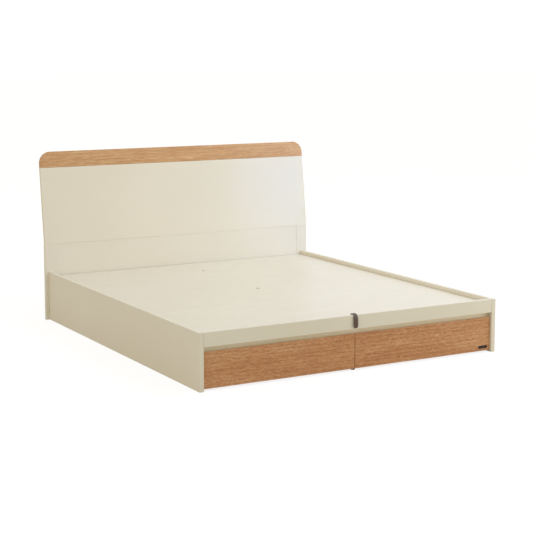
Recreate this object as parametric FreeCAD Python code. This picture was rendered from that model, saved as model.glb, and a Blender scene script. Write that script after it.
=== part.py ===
"""Storage bed for an 1800 x 2000 mm mattress, one solid or group of like solids for each piece.

The bed is laid out with X = 0 on its centre line, Y = 0 at the front faces of the side
panels and the foot rail, Y growing towards the headboard, and Z = 0 on the floor.
Every piece is then moved along Y, so that the origin is the middle of the footprint.
"""
import FreeCAD
import Part
import math
import os

Vector = FreeCAD.Vector

# Overall sizes, in millimetres
bed_width = 1850.0
bed_length = 2075.0
side_height = 300.0
panel_thickness = 25.0
board_thickness = 18.0
floor_lift = 8.0
overrun = 1.0
fit_gap = 0.05
rest_gap = 0.3

# Foot rail and the finger gap below it
rail_height = 75.0
grip_gap = 27.0
grip_depth = 40.0
grip_bevel = 12.0
spacer_thickness = 15.0
backing_drop = 11.0

# Platform that carries the mattress
deck_drop = 25.0
deck_thickness = 18.0
deck_edge_gap = 3.0
deck_head_gap = 4.5
deck_seam_y = 640.0
deck_seam_gap = 1.0
deck_hole_diameter = 28.0
deck_hole_setbacks = (1010.0, 299.0)
tube_width = 40.0
tube_height = 30.0
tube_wall = 1.5
tube_side_gap = 12.0
tube_front_y = 85.0
tube_head_gap = 35.0
inner_tube_x = 300.0
cap_flange = 2.0
cap_plug = 12.0

# Lift hinge
hinge_setback = 225.0
hinge_pin_radius = 6.0
hinge_ear_thickness = 6.0
hinge_ear_length = 60.0
hinge_side_play = 0.5
hinge_bracket_front = 35.0
hinge_bracket_rear = 8.0
hinge_bracket_below = 40.0
hinge_bracket_above = 10.0

# Gas struts
strut_side_gap = 16.0
strut_low_ahead = 30.0
strut_low_z = 55.0
strut_high_ahead = 290.0
strut_high_drop = 27.0
strut_pin_radius = 4.0
strut_eye_radius = 9.0
strut_eye_width = 12.0
strut_open_radius = 9.0
strut_open_eye_radius = 14.0
strut_barrel_radius = 10.0
strut_barrel_wall = 1.5
strut_rod_showing = 95.0
strut_rod_radius = 4.0
strut_rod_room = 73.0
strut_piston_height = 12.0
strut_ear_thickness = 6.0
strut_ear_length = 30.0
strut_ear_below = 15.0
strut_head_thickness = 3.0
strut_high_head_radius = 11.0
strut_low_head_radius = 6.5
strut_anchor_plate = 4.0
strut_anchor_length = 44.0
strut_anchor_below = 24.0
strut_anchor_above = 30.0
strut_boss_radius = 7.0

# Side battens that the platform lies on, and the storage floor
batten_width = 25.0
batten_height = 25.0
batten_hinge_gap = 50.0
bay_top_thickness = 12.0
floor_thickness = 9.0
floor_batten_width = 22.0
floor_batten_height = 12.0
head_cross_height = 92.0
foot_radius = 12.0
foot_inset = 14.0
front_foot_inset = 3.0

# Drawers in the foot end
drawer_recess = 14.0
drawer_bottom_gap = 10.0
drawer_side_gap = 2.5
drawer_centre_gap = 3.5
drawer_front_thickness = 18.0
drawer_wall = 15.0
drawer_depth = 550.0
drawer_side_height = 150.0
drawer_side_lift = 24.0
drawer_floor = 6.0
runner_gap = 13.0
runner_length = 500.0
runner_height = 45.0
runner_steel = 1.2
runner_play = 0.3
runner_reach = 9.0
runner_z = 70.0
plate_length = 60.0
plate_height = 12.0
plate_thickness = 1.0
plate_edge = 17.0
plate_lift = 17.0

# Headboard
headboard_overhang = 21.5
headboard_thickness = 25.0
stile_width = 77.0
middle_recess = 3.0
seam_height = 474.0
upper_thickness = 20.0
headboard_height = 1045.0
upper_run = 70.5
band_height = 100.0
corner_radius = 72.0
brace_depth = 40.0
brace_width = 60.0
brace_bottom = 60.0
brace_top = 800.0

# Pull strap over the foot rail
strap_width = 27.0
strap_thickness = 5.0
strap_standoff = 2.0
strap_front_gap = 6.0
strap_hang = 72.0
strap_bend = 8.0
strap_rear_y = 34.0
strap_tail = 42.0
strap_corner = 8.0
strap_plate = 2.0
strap_plate_length = 24.0
notch_width = 40.0
notch_end_y = 42.0

# Steel angles, screws and bolts
angle_leg = 40.0
angle_steel = 3.0
angle_bend = 4.0
angle_height = 60.0
angle_lift = 40.0
screw_radius = 2.0
screw_length = 14.0
screw_head_radius = 4.5
screw_head_height = 2.5
bolt_radius = 4.0
bolt_length = 70.0
bolt_head_radius = 8.0
bolt_head_height = 4.0

# Heights of screws and bolts as shares of the piece that they hold
screw_shares = (0.25, 0.75)
bolt_shares = (0.25, 0.75)

# Places that follow from the sizes above
half_width = bed_width / 2
inner_half = half_width - panel_thickness
rail_bottom = side_height - rail_height
drawer_top = rail_bottom - grip_gap
deck_top = side_height - deck_drop
deck_bottom = deck_top - deck_thickness
deck_half = inner_half - deck_edge_gap
deck_front_y = panel_thickness + deck_edge_gap
deck_rear_y = bed_length - deck_head_gap
tube_bottom = deck_bottom - tube_height
tube_outer_x = inner_half - tube_side_gap
tube_inner_x = tube_outer_x - tube_width
tube_rear_y = bed_length - tube_head_gap
hinge_y = bed_length - hinge_setback
hinge_z = deck_bottom - tube_height / 2
strut_x = tube_inner_x - strut_side_gap
strut_low_y = hinge_y - strut_low_ahead
strut_high_y = hinge_y - strut_high_ahead
strut_high_z = hinge_z - strut_high_drop
strut_length = math.hypot(strut_low_y - strut_high_y, strut_high_z - strut_low_z)
strut_barrel_end = strut_length - strut_rod_showing
strut_rod_length = strut_length - strut_rod_room
batten_top = tube_bottom - rest_gap
batten_bottom = batten_top - batten_height
batten_end_y = hinge_y - batten_hinge_gap
bay_top_bottom = batten_bottom - bay_top_thickness
backing_rear_y = grip_depth + board_thickness
backing_top = deck_bottom - backing_drop
partition_front_y = drawer_recess + drawer_front_thickness + overrun
cross_rear_y = deck_seam_y + board_thickness
head_cross_front_y = bed_length - board_thickness
floor_bottom = floor_lift + floor_batten_height
floor_top = floor_bottom + floor_thickness
headboard_half = half_width + headboard_overhang
stile_inner_x = headboard_half - stile_width
headboard_rear_y = bed_length + headboard_thickness
upper_rise = headboard_height - seam_height
upper_tilt = math.atan(upper_run / upper_rise)
upper_length = upper_rise / math.cos(upper_tilt)
band_start = upper_length - band_height
upper_rear_step = upper_thickness / math.cos(upper_tilt)
rearmost_y = bed_length + upper_run + upper_thickness * math.cos(upper_tilt)
strap_front_y = -strap_front_gap - strap_thickness
origin_y = (strap_front_y + rearmost_y) / 2
drawer_outer_x = inner_half - runner_gap
drawer_inner_x = board_thickness / 2 + runner_gap
drawer_box_y = drawer_recess + drawer_front_thickness
drawer_rear_y = drawer_box_y + drawer_depth

SIDES = (("left", -1), ("right", 1))


def box(x_range, y_range, z_range):
    """A block between two places along each axis, given in either order."""
    low = Vector(min(x_range), min(y_range), min(z_range))
    high = Vector(max(x_range), max(y_range), max(z_range))
    size = high - low
    return Part.makeBox(size.x, size.y, size.z, low)


def rod_x(radius, x_start, x_end, y, z):
    """A round bar along X between two places."""
    length = abs(x_end - x_start)
    start = Vector(min(x_start, x_end), y, z)
    return Part.makeCylinder(radius, length, start, Vector(1, 0, 0))


def rod_z(radius, x, y, z_start, z_end):
    """A round bar along Z between two places."""
    return Part.makeCylinder(radius, z_end - z_start, Vector(x, y, z_start))


def mirrored(x_pair, side):
    """A pair of places along X, put on the left (-1) or right (1) side."""
    return (x_pair[0] * side, x_pair[1] * side)


def tube_along_y(x_low, y_range, z_low):
    """A square steel tube along Y with open ends."""
    x_high = x_low + tube_width
    z_high = z_low + tube_height
    outer = box((x_low, x_high), y_range, (z_low, z_high))
    inner = box(
        (x_low + tube_wall, x_high - tube_wall),
        (min(y_range) - overrun, max(y_range) + overrun),
        (z_low + tube_wall, z_high - tube_wall),
    )
    return outer.cut(inner)


def tube_along_x(x_range, y_low, z_low):
    """A square steel tube along X with open ends."""
    y_high = y_low + tube_width
    z_high = z_low + tube_height
    outer = box(x_range, (y_low, y_high), (z_low, z_high))
    inner = box(
        (min(x_range) - overrun, max(x_range) + overrun),
        (y_low + tube_wall, y_high - tube_wall),
        (z_low + tube_wall, z_high - tube_wall),
    )
    return outer.cut(inner)


def turned(vector, angle):
    """A vector of the plane turned by an angle."""
    cos_angle = math.cos(angle)
    sin_angle = math.sin(angle)
    return Vector(
        vector.x * cos_angle - vector.y * sin_angle,
        vector.x * sin_angle + vector.y * cos_angle,
        0,
    )


def strip_side(points, bend, offset):
    """The edges of one side of a bent strip whose middle line has these corners."""
    left = math.pi / 2
    start = points[0] + turned((points[1] - points[0]).normalize(), left) * offset
    edges = []
    for before, corner, after in zip(points, points[1:], points[2:]):
        arriving = (corner - before).normalize()
        leaving = (after - corner).normalize()
        turn = math.atan2(arriving.cross(leaving).z, arriving.dot(leaving))
        hand = math.copysign(1, turn)
        trim = bend * math.tan(abs(turn) / 2)
        centre = corner - arriving * trim + turned(arriving, left) * (bend * hand)
        reach = (offset * hand - bend) * hand
        arc_start = centre + turned(arriving, left) * reach
        arc_middle = centre + turned(arriving, left + turn / 2) * reach
        arc_end = centre + turned(leaving, left) * reach
        edges.append(Part.LineSegment(start, arc_start).toShape())
        edges.append(Part.Arc(arc_start, arc_middle, arc_end).toShape())
        start = arc_end
    last = (points[-1] - points[-2]).normalize()
    end = points[-1] + turned(last, left) * offset
    edges.append(Part.LineSegment(start, end).toShape())
    return edges


def bent_strip(points, bend, thickness, width):
    """A flat strip bent along a middle line in the XY plane, and wide along Z."""
    near = strip_side(points, bend, thickness / 2)
    far = strip_side(points, bend, -thickness / 2)
    ends = [
        Part.LineSegment(near[0].Vertexes[0].Point, far[0].Vertexes[0].Point).toShape(),
        Part.LineSegment(near[-1].Vertexes[-1].Point, far[-1].Vertexes[-1].Point).toShape(),
    ]
    outline = Part.Wire(Part.__sortEdges__(near + far + ends))
    return Part.Face(outline).extrude(Vector(0, 0, width))


def yz_plate(outline, x_range):
    """A plate whose outline lies in the YZ plane, thick along X."""
    x_low = min(x_range)
    corners = [Vector(x_low, y, z) for y, z in outline]
    face = Part.Face(Part.makePolygon(corners + corners[:1]))
    return face.extrude(Vector(max(x_range) - x_low, 0, 0))


def side_panel(side):
    """A plain panel from the floor to the top of the bed, bored for the headboard bolts."""
    panel = box(mirrored((inner_half, half_width), side), (0, bed_length), (0, side_height))
    for bolt in headboard_bolts_of(side):
        panel = panel.cut(bolt)
    for screw in side_screws(side):
        panel = panel.cut(screw)
    return panel


def foot_rail():
    """The rail between the side panels, flush with their tops and fronts."""
    return box((-inner_half, inner_half), (0, panel_thickness), (rail_bottom, side_height))


def rail_spacer_board():
    """The board that closes the top of the finger gap and ties the rail to its backing."""
    return box(
        (-inner_half, inner_half),
        (panel_thickness, grip_depth),
        (rail_bottom, rail_bottom + spacer_thickness),
    )


def grip_backing_rail():
    """The upright strip seen at the back of the finger gap."""
    return box(
        (-inner_half, inner_half),
        (grip_depth, backing_rear_y),
        (bay_top_bottom, backing_top),
    )


def drawer_partition():
    """The upright board between the two drawer bays."""
    half = board_thickness / 2
    return box((-half, half), (partition_front_y, deck_seam_y), (floor_lift, bay_top_bottom))


def drawer_bay_top():
    """The dust board over both drawers."""
    return box(
        (-inner_half, inner_half),
        (backing_rear_y, deck_seam_y),
        (bay_top_bottom, batten_bottom),
    )


def platform_battens():
    """The two side battens that the platform lies on."""
    solids = []
    for _, side in SIDES:
        x_pair = mirrored((inner_half - batten_width, inner_half), side)
        y_pair = (backing_rear_y, batten_end_y)
        solids.append(box(x_pair, y_pair, (batten_bottom, batten_top)))
    return solids


def storage_cross_panel():
    """The cross panel behind the drawers, notched for the side battens."""
    panel = box(
        (-inner_half, inner_half),
        (deck_seam_y, cross_rear_y),
        (floor_lift, batten_top),
    )
    for batten in platform_battens():
        panel = panel.cut(batten)
    for screw in cross_screws():
        panel = panel.cut(screw)
    return panel


def head_cross_panel():
    """The low cross panel in front of the headboard."""
    return box(
        (-inner_half, inner_half),
        (head_cross_front_y, bed_length),
        (floor_lift, floor_lift + head_cross_height),
    )


def floor_battens():
    """Battens along both sides and the middle, under the storage floor."""
    y_pair = (cross_rear_y, head_cross_front_y)
    z_pair = (floor_lift, floor_bottom)
    half = floor_batten_width / 2
    solids = [box((-half, half), y_pair, z_pair)]
    for _, side in SIDES:
        x_pair = mirrored((inner_half - floor_batten_width, inner_half), side)
        solids.append(box(x_pair, y_pair, z_pair))
    return solids


def storage_floor(side):
    """One of the two floor panels, which meet over the middle batten."""
    y_pair = (cross_rear_y, head_cross_front_y)
    return box(mirrored((0, inner_half), side), y_pair, (floor_bottom, floor_top))


def foot_places():
    """Centres of the round feet, under the partition, the cross panels and the middle batten."""
    cross_y = (deck_seam_y + cross_rear_y) / 2
    head_y = (head_cross_front_y + bed_length) / 2
    places = [
        (0, partition_front_y + front_foot_inset),
        (0, deck_seam_y - foot_inset),
        (0, (cross_rear_y + head_cross_front_y) / 2),
    ]
    for _, side in SIDES:
        places.append((side * inner_half / 2, cross_y))
        places.append((side * inner_half / 2, head_y))
    return places


def glide_feet():
    """Low dark feet between the floor and the inner boards."""
    return [rod_z(foot_radius, x, y, 0, floor_lift) for x, y in foot_places()]


def angle_places():
    """Corner, direction along X and direction along Y of each steel angle."""
    places = []
    for _, side in SIDES:
        places.append((Vector(side * inner_half, cross_rear_y, angle_lift), -side, 1))
    return places


def steel_angles():
    """Bent steel angles that tie the cross panel to the side panels."""
    half = angle_steel / 2
    solids = []
    for corner, along_x, along_y in angle_places():
        points = [
            corner + Vector(along_x * angle_leg, along_y * half, 0),
            corner + Vector(along_x * half, along_y * half, 0),
            corner + Vector(along_x * half, along_y * angle_leg, 0),
        ]
        solid = bent_strip(points, angle_bend, angle_steel, angle_height)
        for screw in side_screws(-along_x) + cross_screws():
            solid = solid.cut(screw)
        solids.append(solid)
    return solids


def screw_heights():
    """Heights of the screws in a steel angle."""
    return [angle_lift + share * angle_height for share in screw_shares]


def pan_screw(head_seat, direction):
    """A screw whose pan head sits on a face and whose shank goes in along a direction."""
    shank = Part.makeCylinder(screw_radius, screw_length, head_seat, direction)
    head = Part.makeCylinder(screw_head_radius, screw_head_height, head_seat, direction * -1)
    return head.fuse(shank).removeSplitter()


def side_screws(side):
    """Screws through the steel angle into one side panel."""
    seat_x = side * (inner_half - angle_steel)
    y = cross_rear_y + angle_leg * screw_shares[1]
    return [pan_screw(Vector(seat_x, y, z), Vector(side, 0, 0)) for z in screw_heights()]


def cross_screws():
    """Screws through both steel angles into the cross panel."""
    solids = []
    for _, side in SIDES:
        x = side * (inner_half - angle_leg * screw_shares[1])
        seat_y = cross_rear_y + angle_steel
        for z in screw_heights():
            solids.append(pan_screw(Vector(x, seat_y, z), Vector(0, -1, 0)))
    return solids


def angle_screws():
    """Every screw of the steel angles."""
    return side_screws(-1) + side_screws(1) + cross_screws()


def headboard_stile(side):
    """One upright board of the lower headboard, which stands on the floor."""
    stile = box(
        mirrored((stile_inner_x, headboard_half), side),
        (bed_length, headboard_rear_y),
        (0, seam_height),
    )
    for bolt in headboard_bolts_of(side):
        stile = stile.cut(bolt)
    return stile


def headboard_middle_panel():
    """The panel between the stiles, set back a little from their front faces."""
    return box(
        (-stile_inner_x, stile_inner_x),
        (bed_length + middle_recess, headboard_rear_y),
        (floor_lift, seam_height),
    )


def tilted_board(start, end, radius):
    """A board of the tilted headboard between two places up its slope."""
    half = headboard_half
    if radius == 0:
        low_left = Vector(-half, 0, start)
        low_right = Vector(half, 0, start)
        corners = [low_left, low_right, Vector(half, 0, end), Vector(-half, 0, end)]
        outline = Part.makePolygon(corners + corners[:1])
    else:
        outline = rounded_outline(half, start, end, radius)
    board = Part.Face(outline).extrude(Vector(0, upper_thickness, 0))
    board.rotate(Vector(0, 0, 0), Vector(1, 0, 0), -math.degrees(upper_tilt))
    board.translate(Vector(0, bed_length, seam_height))
    return board


def rounded_outline(half, start, end, radius):
    """A rectangle in the XZ plane with both upper corners rounded."""
    diagonal = radius * (1 - math.sqrt(2) / 2)
    right_side = Vector(half, 0, end - radius)
    right_top = Vector(half - radius, 0, end)
    left_top = Vector(radius - half, 0, end)
    left_side = Vector(-half, 0, end - radius)
    right_middle = Vector(half - diagonal, 0, end - diagonal)
    left_middle = Vector(diagonal - half, 0, end - diagonal)
    low_left = Vector(-half, 0, start)
    low_right = Vector(half, 0, start)
    edges = [
        Part.LineSegment(low_left, low_right).toShape(),
        Part.LineSegment(low_right, right_side).toShape(),
        Part.Arc(right_side, right_middle, right_top).toShape(),
        Part.LineSegment(right_top, left_top).toShape(),
        Part.Arc(left_top, left_middle, left_side).toShape(),
        Part.LineSegment(left_side, low_left).toShape(),
    ]
    return Part.Wire(edges)


def headboard_upper_panel():
    """The tilted panel, mitred level where it stands on the lower headboard."""
    board = tilted_board(-upper_thickness, band_start, 0)
    below = box(
        (-headboard_half - overrun, headboard_half + overrun),
        (bed_length - upper_thickness, headboard_rear_y + upper_thickness),
        (seam_height - 2 * upper_thickness, seam_height),
    )
    return board.cut(below)


def headboard_top_band():
    """The wooden band along the top, with rounded corners."""
    return tilted_board(band_start, upper_length, corner_radius)


def headboard_brace(side):
    """A wedge behind a stile joint, which carries the tilted panel."""
    rear_y = headboard_rear_y + brace_depth
    slope = math.tan(upper_tilt)
    panel_rear_y = bed_length + upper_rear_step
    top_y = panel_rear_y + (brace_top - seam_height) * slope
    outline = [
        (headboard_rear_y, brace_bottom),
        (headboard_rear_y, seam_height),
        (panel_rear_y, seam_height),
        (top_y, brace_top),
        (rear_y, brace_top),
        (rear_y, brace_bottom),
    ]
    x_low = stile_inner_x - brace_width / 2
    return yz_plate(outline, mirrored((x_low, x_low + brace_width), side))


def headboard_bolts_of(side):
    """The bolts through one stile into the end of its side panel."""
    x = side * (half_width - panel_thickness / 2)
    solids = []
    for share in bolt_shares:
        seat = Vector(x, headboard_rear_y, share * side_height)
        shank = Part.makeCylinder(bolt_radius, bolt_length, seat, Vector(0, -1, 0))
        head = Part.makeCylinder(bolt_head_radius, bolt_head_height, seat, Vector(0, 1, 0))
        solids.append(head.fuse(shank).removeSplitter())
    return solids


def headboard_bolts():
    """All bolts of the headboard."""
    return headboard_bolts_of(-1) + headboard_bolts_of(1)


def deck_board_foot():
    """The shorter deck board, notched where the pull strap comes up."""
    board = box(
        (-deck_half, deck_half),
        (deck_front_y, deck_seam_y - deck_seam_gap / 2),
        (deck_bottom, deck_top),
    )
    notch = box(
        (-notch_width / 2, notch_width / 2),
        (deck_front_y - overrun, notch_end_y),
        (deck_bottom - overrun, deck_top + overrun),
    )
    board = board.cut(notch)
    for screw in strap_screws():
        board = board.cut(screw)
    return board


def deck_board_head():
    """The longer deck board with two round holes on the centre line."""
    board = box(
        (-deck_half, deck_half),
        (deck_seam_y + deck_seam_gap / 2, deck_rear_y),
        (deck_bottom, deck_top),
    )
    radius = deck_hole_diameter / 2
    for setback in deck_hole_setbacks:
        y = bed_length - setback
        board = board.cut(rod_z(radius, 0, y, deck_bottom - overrun, deck_top + overrun))
    return board


def platform_side_tube(side):
    """A long tube of the platform frame."""
    x_low = min(mirrored((tube_inner_x, tube_outer_x), side))
    return tube_along_y(x_low, (tube_front_y, tube_rear_y), tube_bottom)


def cross_tube_places():
    """Front edges of the cross tubes from the foot to the head."""
    seam = deck_seam_y - tube_width / 2
    rear = tube_rear_y - tube_width
    return (tube_front_y, seam, (seam + rear) / 2, rear)


def platform_cross_tubes():
    """The cross tubes between the long tubes."""
    x_pair = (-tube_inner_x, tube_inner_x)
    return [tube_along_x(x_pair, y, tube_bottom) for y in cross_tube_places()]


def platform_inner_tubes(side):
    """A row of short tubes between the cross tubes."""
    x_low = min(mirrored((inner_tube_x, inner_tube_x + tube_width), side))
    places = cross_tube_places()
    solids = []
    for before, after in zip(places, places[1:]):
        solids.append(tube_along_y(x_low, (before + tube_width, after), tube_bottom))
    return solids


def tube_end_caps():
    """Plugs with a flange that close the ends of the long tubes."""
    solids = []
    for _, side in SIDES:
        x_low = min(mirrored((tube_inner_x, tube_outer_x), side))
        for end_y, away in ((tube_front_y, -1), (tube_rear_y, 1)):
            flange = box(
                (x_low, x_low + tube_width),
                (end_y, end_y + away * cap_flange),
                (tube_bottom, deck_bottom),
            )
            plug = box(
                (x_low + tube_wall, x_low + tube_width - tube_wall),
                (end_y, end_y - away * cap_plug),
                (tube_bottom + tube_wall, deck_bottom - tube_wall),
            )
            solids.append(flange.fuse(plug).removeSplitter())
    return solids


def hinge_ears():
    """Bored plates on the outer faces of the long tubes."""
    half = hinge_ear_length / 2
    bore_radius = hinge_pin_radius + fit_gap
    solids = []
    for _, side in SIDES:
        x_pair = mirrored((tube_outer_x, tube_outer_x + hinge_ear_thickness), side)
        ear = box(x_pair, (hinge_y - half, hinge_y + half), (tube_bottom, deck_bottom))
        reach = mirrored((tube_outer_x - overrun, inner_half), side)
        solids.append(ear.cut(rod_x(bore_radius, reach[0], reach[1], hinge_y, hinge_z)))
    return solids


def hinge_bracket(side):
    """A plate on the side panel with the pin that the platform turns on."""
    ear_face = tube_outer_x + hinge_ear_thickness
    plate_face = ear_face + hinge_side_play
    plate = box(
        mirrored((plate_face, inner_half), side),
        (hinge_y - hinge_bracket_front, hinge_y + hinge_bracket_rear),
        (hinge_z - hinge_bracket_below, hinge_z + hinge_bracket_above),
    )
    pin_tip = tube_outer_x + hinge_side_play
    pin = rod_x(hinge_pin_radius, side * pin_tip, side * inner_half, hinge_y, hinge_z)
    return plate.fuse(pin).removeSplitter()


def strut_ear(side):
    """A plate that hangs from the long tube, with the pin of the strut's upper end."""
    half = strut_ear_length / 2
    plate = box(
        mirrored((tube_inner_x - strut_ear_thickness, tube_inner_x), side),
        (strut_high_y - half, strut_high_y + half),
        (strut_high_z - strut_ear_below, deck_bottom),
    )
    plate_x = tube_inner_x - strut_ear_thickness
    return strut_pin(plate, side, plate_x, strut_high_y, strut_high_z, strut_high_head_radius)


def strut_pin(plate, side, plate_x, y, z, head_radius):
    """A plate with a headed pin through the eye of a strut."""
    eye_inner_x = strut_x - strut_eye_width / 2
    head_x = eye_inner_x - overrun
    head_end_x = head_x - strut_head_thickness
    pin = rod_x(strut_pin_radius, side * head_x, side * plate_x, y, z)
    head = rod_x(head_radius, side * head_end_x, side * head_x, y, z)
    return plate.fuse([pin, head]).removeSplitter()


def strut_anchor(side):
    """A plate and boss on the side panel, with the pin of the strut's lower end."""
    half = strut_anchor_length / 2
    plate = box(
        mirrored((inner_half - strut_anchor_plate, inner_half), side),
        (strut_low_y - half, strut_low_y + half),
        (strut_low_z - strut_anchor_below, strut_low_z + strut_anchor_above),
    )
    boss_x = strut_x + strut_eye_width / 2 + overrun
    boss = rod_x(strut_boss_radius, side * boss_x, side * inner_half, strut_low_y, strut_low_z)
    plate = plate.fuse(boss)
    return strut_pin(plate, side, boss_x, strut_low_y, strut_low_z, strut_low_head_radius)


def strut_direction():
    """The direction from the lower to the upper end of a strut at rest."""
    low = Vector(0, strut_low_y, strut_low_z)
    high = Vector(0, strut_high_y, strut_high_z)
    return (high - low).normalize()


def strut_cylinder(side):
    """The barrel with its lower eye, bored for the rod and the piston."""
    x = side * strut_x
    low = Vector(x, strut_low_y, strut_low_z)
    along = strut_direction()
    inner_radius = strut_barrel_radius - strut_barrel_wall
    bore_start = strut_eye_radius + strut_barrel_wall
    eye_pair = (x - strut_eye_width / 2, x + strut_eye_width / 2)
    eye = rod_x(strut_eye_radius, eye_pair[0], eye_pair[1], strut_low_y, strut_low_z)
    neck = strut_eye_radius - strut_barrel_wall
    barrel = Part.makeCylinder(
        strut_barrel_radius, strut_barrel_end - neck, low + along * neck, along
    )
    solid = eye.fuse(barrel)
    pin_bore = strut_pin_radius + fit_gap
    reach = (eye_pair[0] - strut_eye_width, eye_pair[1] + strut_eye_width)
    solid = solid.cut(rod_x(pin_bore, reach[0], reach[1], strut_low_y, strut_low_z))
    room_length = strut_barrel_end - strut_barrel_wall - bore_start
    room = Part.makeCylinder(inner_radius, room_length, low + along * bore_start, along)
    mouth = Part.makeCylinder(
        strut_rod_radius + fit_gap, strut_barrel_end, low + along * bore_start, along
    )
    return solid.cut(room.fuse(mouth)).removeSplitter()


def strut_rod(side):
    """The rod with its piston and the wide eye at its upper end."""
    x = side * strut_x
    high = Vector(x, strut_high_y, strut_high_z)
    down = strut_direction() * -1
    eye_pair = (x - strut_eye_width / 2, x + strut_eye_width / 2)
    eye = rod_x(strut_open_eye_radius, eye_pair[0], eye_pair[1], strut_high_y, strut_high_z)
    shank = Part.makeCylinder(strut_rod_radius, strut_rod_length, high, down)
    piston_radius = strut_barrel_radius - strut_barrel_wall - fit_gap
    piston_seat = high + down * (strut_rod_length - strut_piston_height)
    piston = Part.makeCylinder(piston_radius, strut_piston_height, piston_seat, down)
    solid = eye.fuse([shank, piston])
    reach = (eye_pair[0] - overrun, eye_pair[1] + overrun)
    hole = rod_x(strut_open_radius, reach[0], reach[1], strut_high_y, strut_high_z)
    return solid.cut(hole).removeSplitter()


def strap_path():
    """Corners of the strap's middle line, from its tail below the deck to its hanging end."""
    half = strap_thickness / 2
    top_z = side_height + strap_standoff + half
    tail_z = deck_bottom - half
    front_y = strap_front_y + half
    return [
        Vector(strap_rear_y + strap_tail, tail_z, 0),
        Vector(strap_rear_y, tail_z, 0),
        Vector(strap_rear_y, top_z, 0),
        Vector(front_y, top_z, 0),
        Vector(front_y, side_height - strap_hang, 0),
    ]


def pull_strap():
    """A flat leather strap over the foot rail, rounded at its hanging end."""
    strap = bent_strip(strap_path(), strap_bend, strap_thickness, strap_width)
    strap.rotate(Vector(0, 0, 0), Vector(1, 1, 1), 120)
    strap.translate(Vector(-strap_width / 2, 0, 0))
    end_z = side_height - strap_hang
    corners = [edge for edge in strap.Edges if is_strap_corner(edge, end_z)]
    strap = strap.makeFillet(strap_corner, corners)
    for screw in strap_screws():
        strap = strap.cut(screw)
    return strap


def is_strap_corner(edge, end_z):
    """Whether an edge is one of the two short corners of the strap's hanging end."""
    level = all(abs(vertex.Z - end_z) < fit_gap for vertex in edge.Vertexes)
    return level and edge.BoundBox.XLength < fit_gap


def strap_plate_piece():
    """The steel plate that clamps the strap's tail under the deck."""
    end_y = strap_rear_y + strap_tail
    plate = box(
        (-strap_width / 2, strap_width / 2),
        (end_y - strap_plate_length, end_y),
        (deck_bottom - strap_thickness - strap_plate, deck_bottom - strap_thickness),
    )
    for screw in strap_screws():
        plate = plate.cut(screw)
    return plate


def strap_screws():
    """Two screws up through the plate and the strap into the deck."""
    y = strap_rear_y + strap_tail - strap_plate_length / 2
    seat_z = deck_bottom - strap_thickness - strap_plate
    solids = []
    for share in screw_shares:
        x = strap_width * (share - 1 / 2)
        solids.append(pan_screw(Vector(x, y, seat_z), Vector(0, 0, 1)))
    return solids


def drawer_front(side):
    """An oak front, set back from the rail, with a bevel behind its top edge for the fingers."""
    x_pair = mirrored((drawer_centre_gap / 2, inner_half - drawer_side_gap), side)
    outline = [
        (drawer_recess, drawer_bottom_gap),
        (drawer_box_y, drawer_bottom_gap),
        (drawer_box_y, drawer_top - grip_bevel),
        (drawer_box_y - grip_bevel, drawer_top),
        (drawer_recess, drawer_top),
    ]
    return yz_plate(outline, x_pair)


def drawer_sides(side):
    """Both side boards of one drawer box."""
    z_pair = (drawer_side_lift, drawer_side_lift + drawer_side_height)
    solids = []
    for edge, inwards in ((drawer_inner_x, 1), (drawer_outer_x, -1)):
        x_pair = mirrored((edge, edge + inwards * drawer_wall), side)
        solids.append(box(x_pair, (drawer_box_y, drawer_rear_y), z_pair))
    return solids


def drawer_inside_x(side):
    """Places of a drawer's inner faces along X."""
    return mirrored((drawer_inner_x + drawer_wall, drawer_outer_x - drawer_wall), side)


def drawer_back(side):
    """The back board between the side boards."""
    return box(
        drawer_inside_x(side),
        (drawer_rear_y - drawer_wall, drawer_rear_y),
        (drawer_side_lift, drawer_side_lift + drawer_side_height),
    )


def drawer_bottom(side):
    """The bottom board between front, sides and back."""
    return box(
        drawer_inside_x(side),
        (drawer_box_y, drawer_rear_y - drawer_wall),
        (drawer_side_lift, drawer_side_lift + drawer_floor),
    )


def runner_channel(face_x, towards, depth_pair, half_height, web_at_far_end):
    """A steel channel along Y whose web and flanges lie between two depths from a face."""
    near, far = depth_pair
    y_pair = (drawer_box_y + overrun, drawer_box_y + overrun + runner_length)
    block = box(
        (face_x + towards * near, face_x + towards * far),
        y_pair,
        (runner_z - half_height, runner_z + half_height),
    )
    if web_at_far_end:
        room_pair = (near - overrun, far - runner_steel)
    else:
        room_pair = (near + runner_steel, far + overrun)
    room = box(
        (face_x + towards * room_pair[0], face_x + towards * room_pair[1]),
        (min(y_pair) - overrun, max(y_pair) + overrun),
        (runner_z - half_height + runner_steel, runner_z + half_height - runner_steel),
    )
    return block.cut(room)


def runner_faces(side):
    """The two faces that carry a drawer's runners, with the direction towards the drawer."""
    return ((side * board_thickness / 2, side), (side * inner_half, -side))


def cabinet_runners(side):
    """The outer channels, fixed to the partition and the side panel."""
    depth_pair = (0, runner_reach)
    half_height = runner_height / 2
    return [
        runner_channel(x, towards, depth_pair, half_height, False)
        for x, towards in runner_faces(side)
    ]


def middle_runners(side):
    """The middle channels, which run half as far as the drawer."""
    near = runner_steel + runner_play
    half_height = runner_height / 2 - runner_steel - runner_play
    return [
        runner_channel(x, towards, (near, runner_reach), half_height, False)
        for x, towards in runner_faces(side)
    ]


def drawer_runners(side):
    """The inner channels, fixed to the drawer's sides."""
    near = 2 * (runner_steel + runner_play)
    half_height = runner_height / 2 - 2 * (runner_steel + runner_play)
    return [
        runner_channel(x, towards, (near, runner_gap), half_height, True)
        for x, towards in runner_faces(side)
    ]


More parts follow.
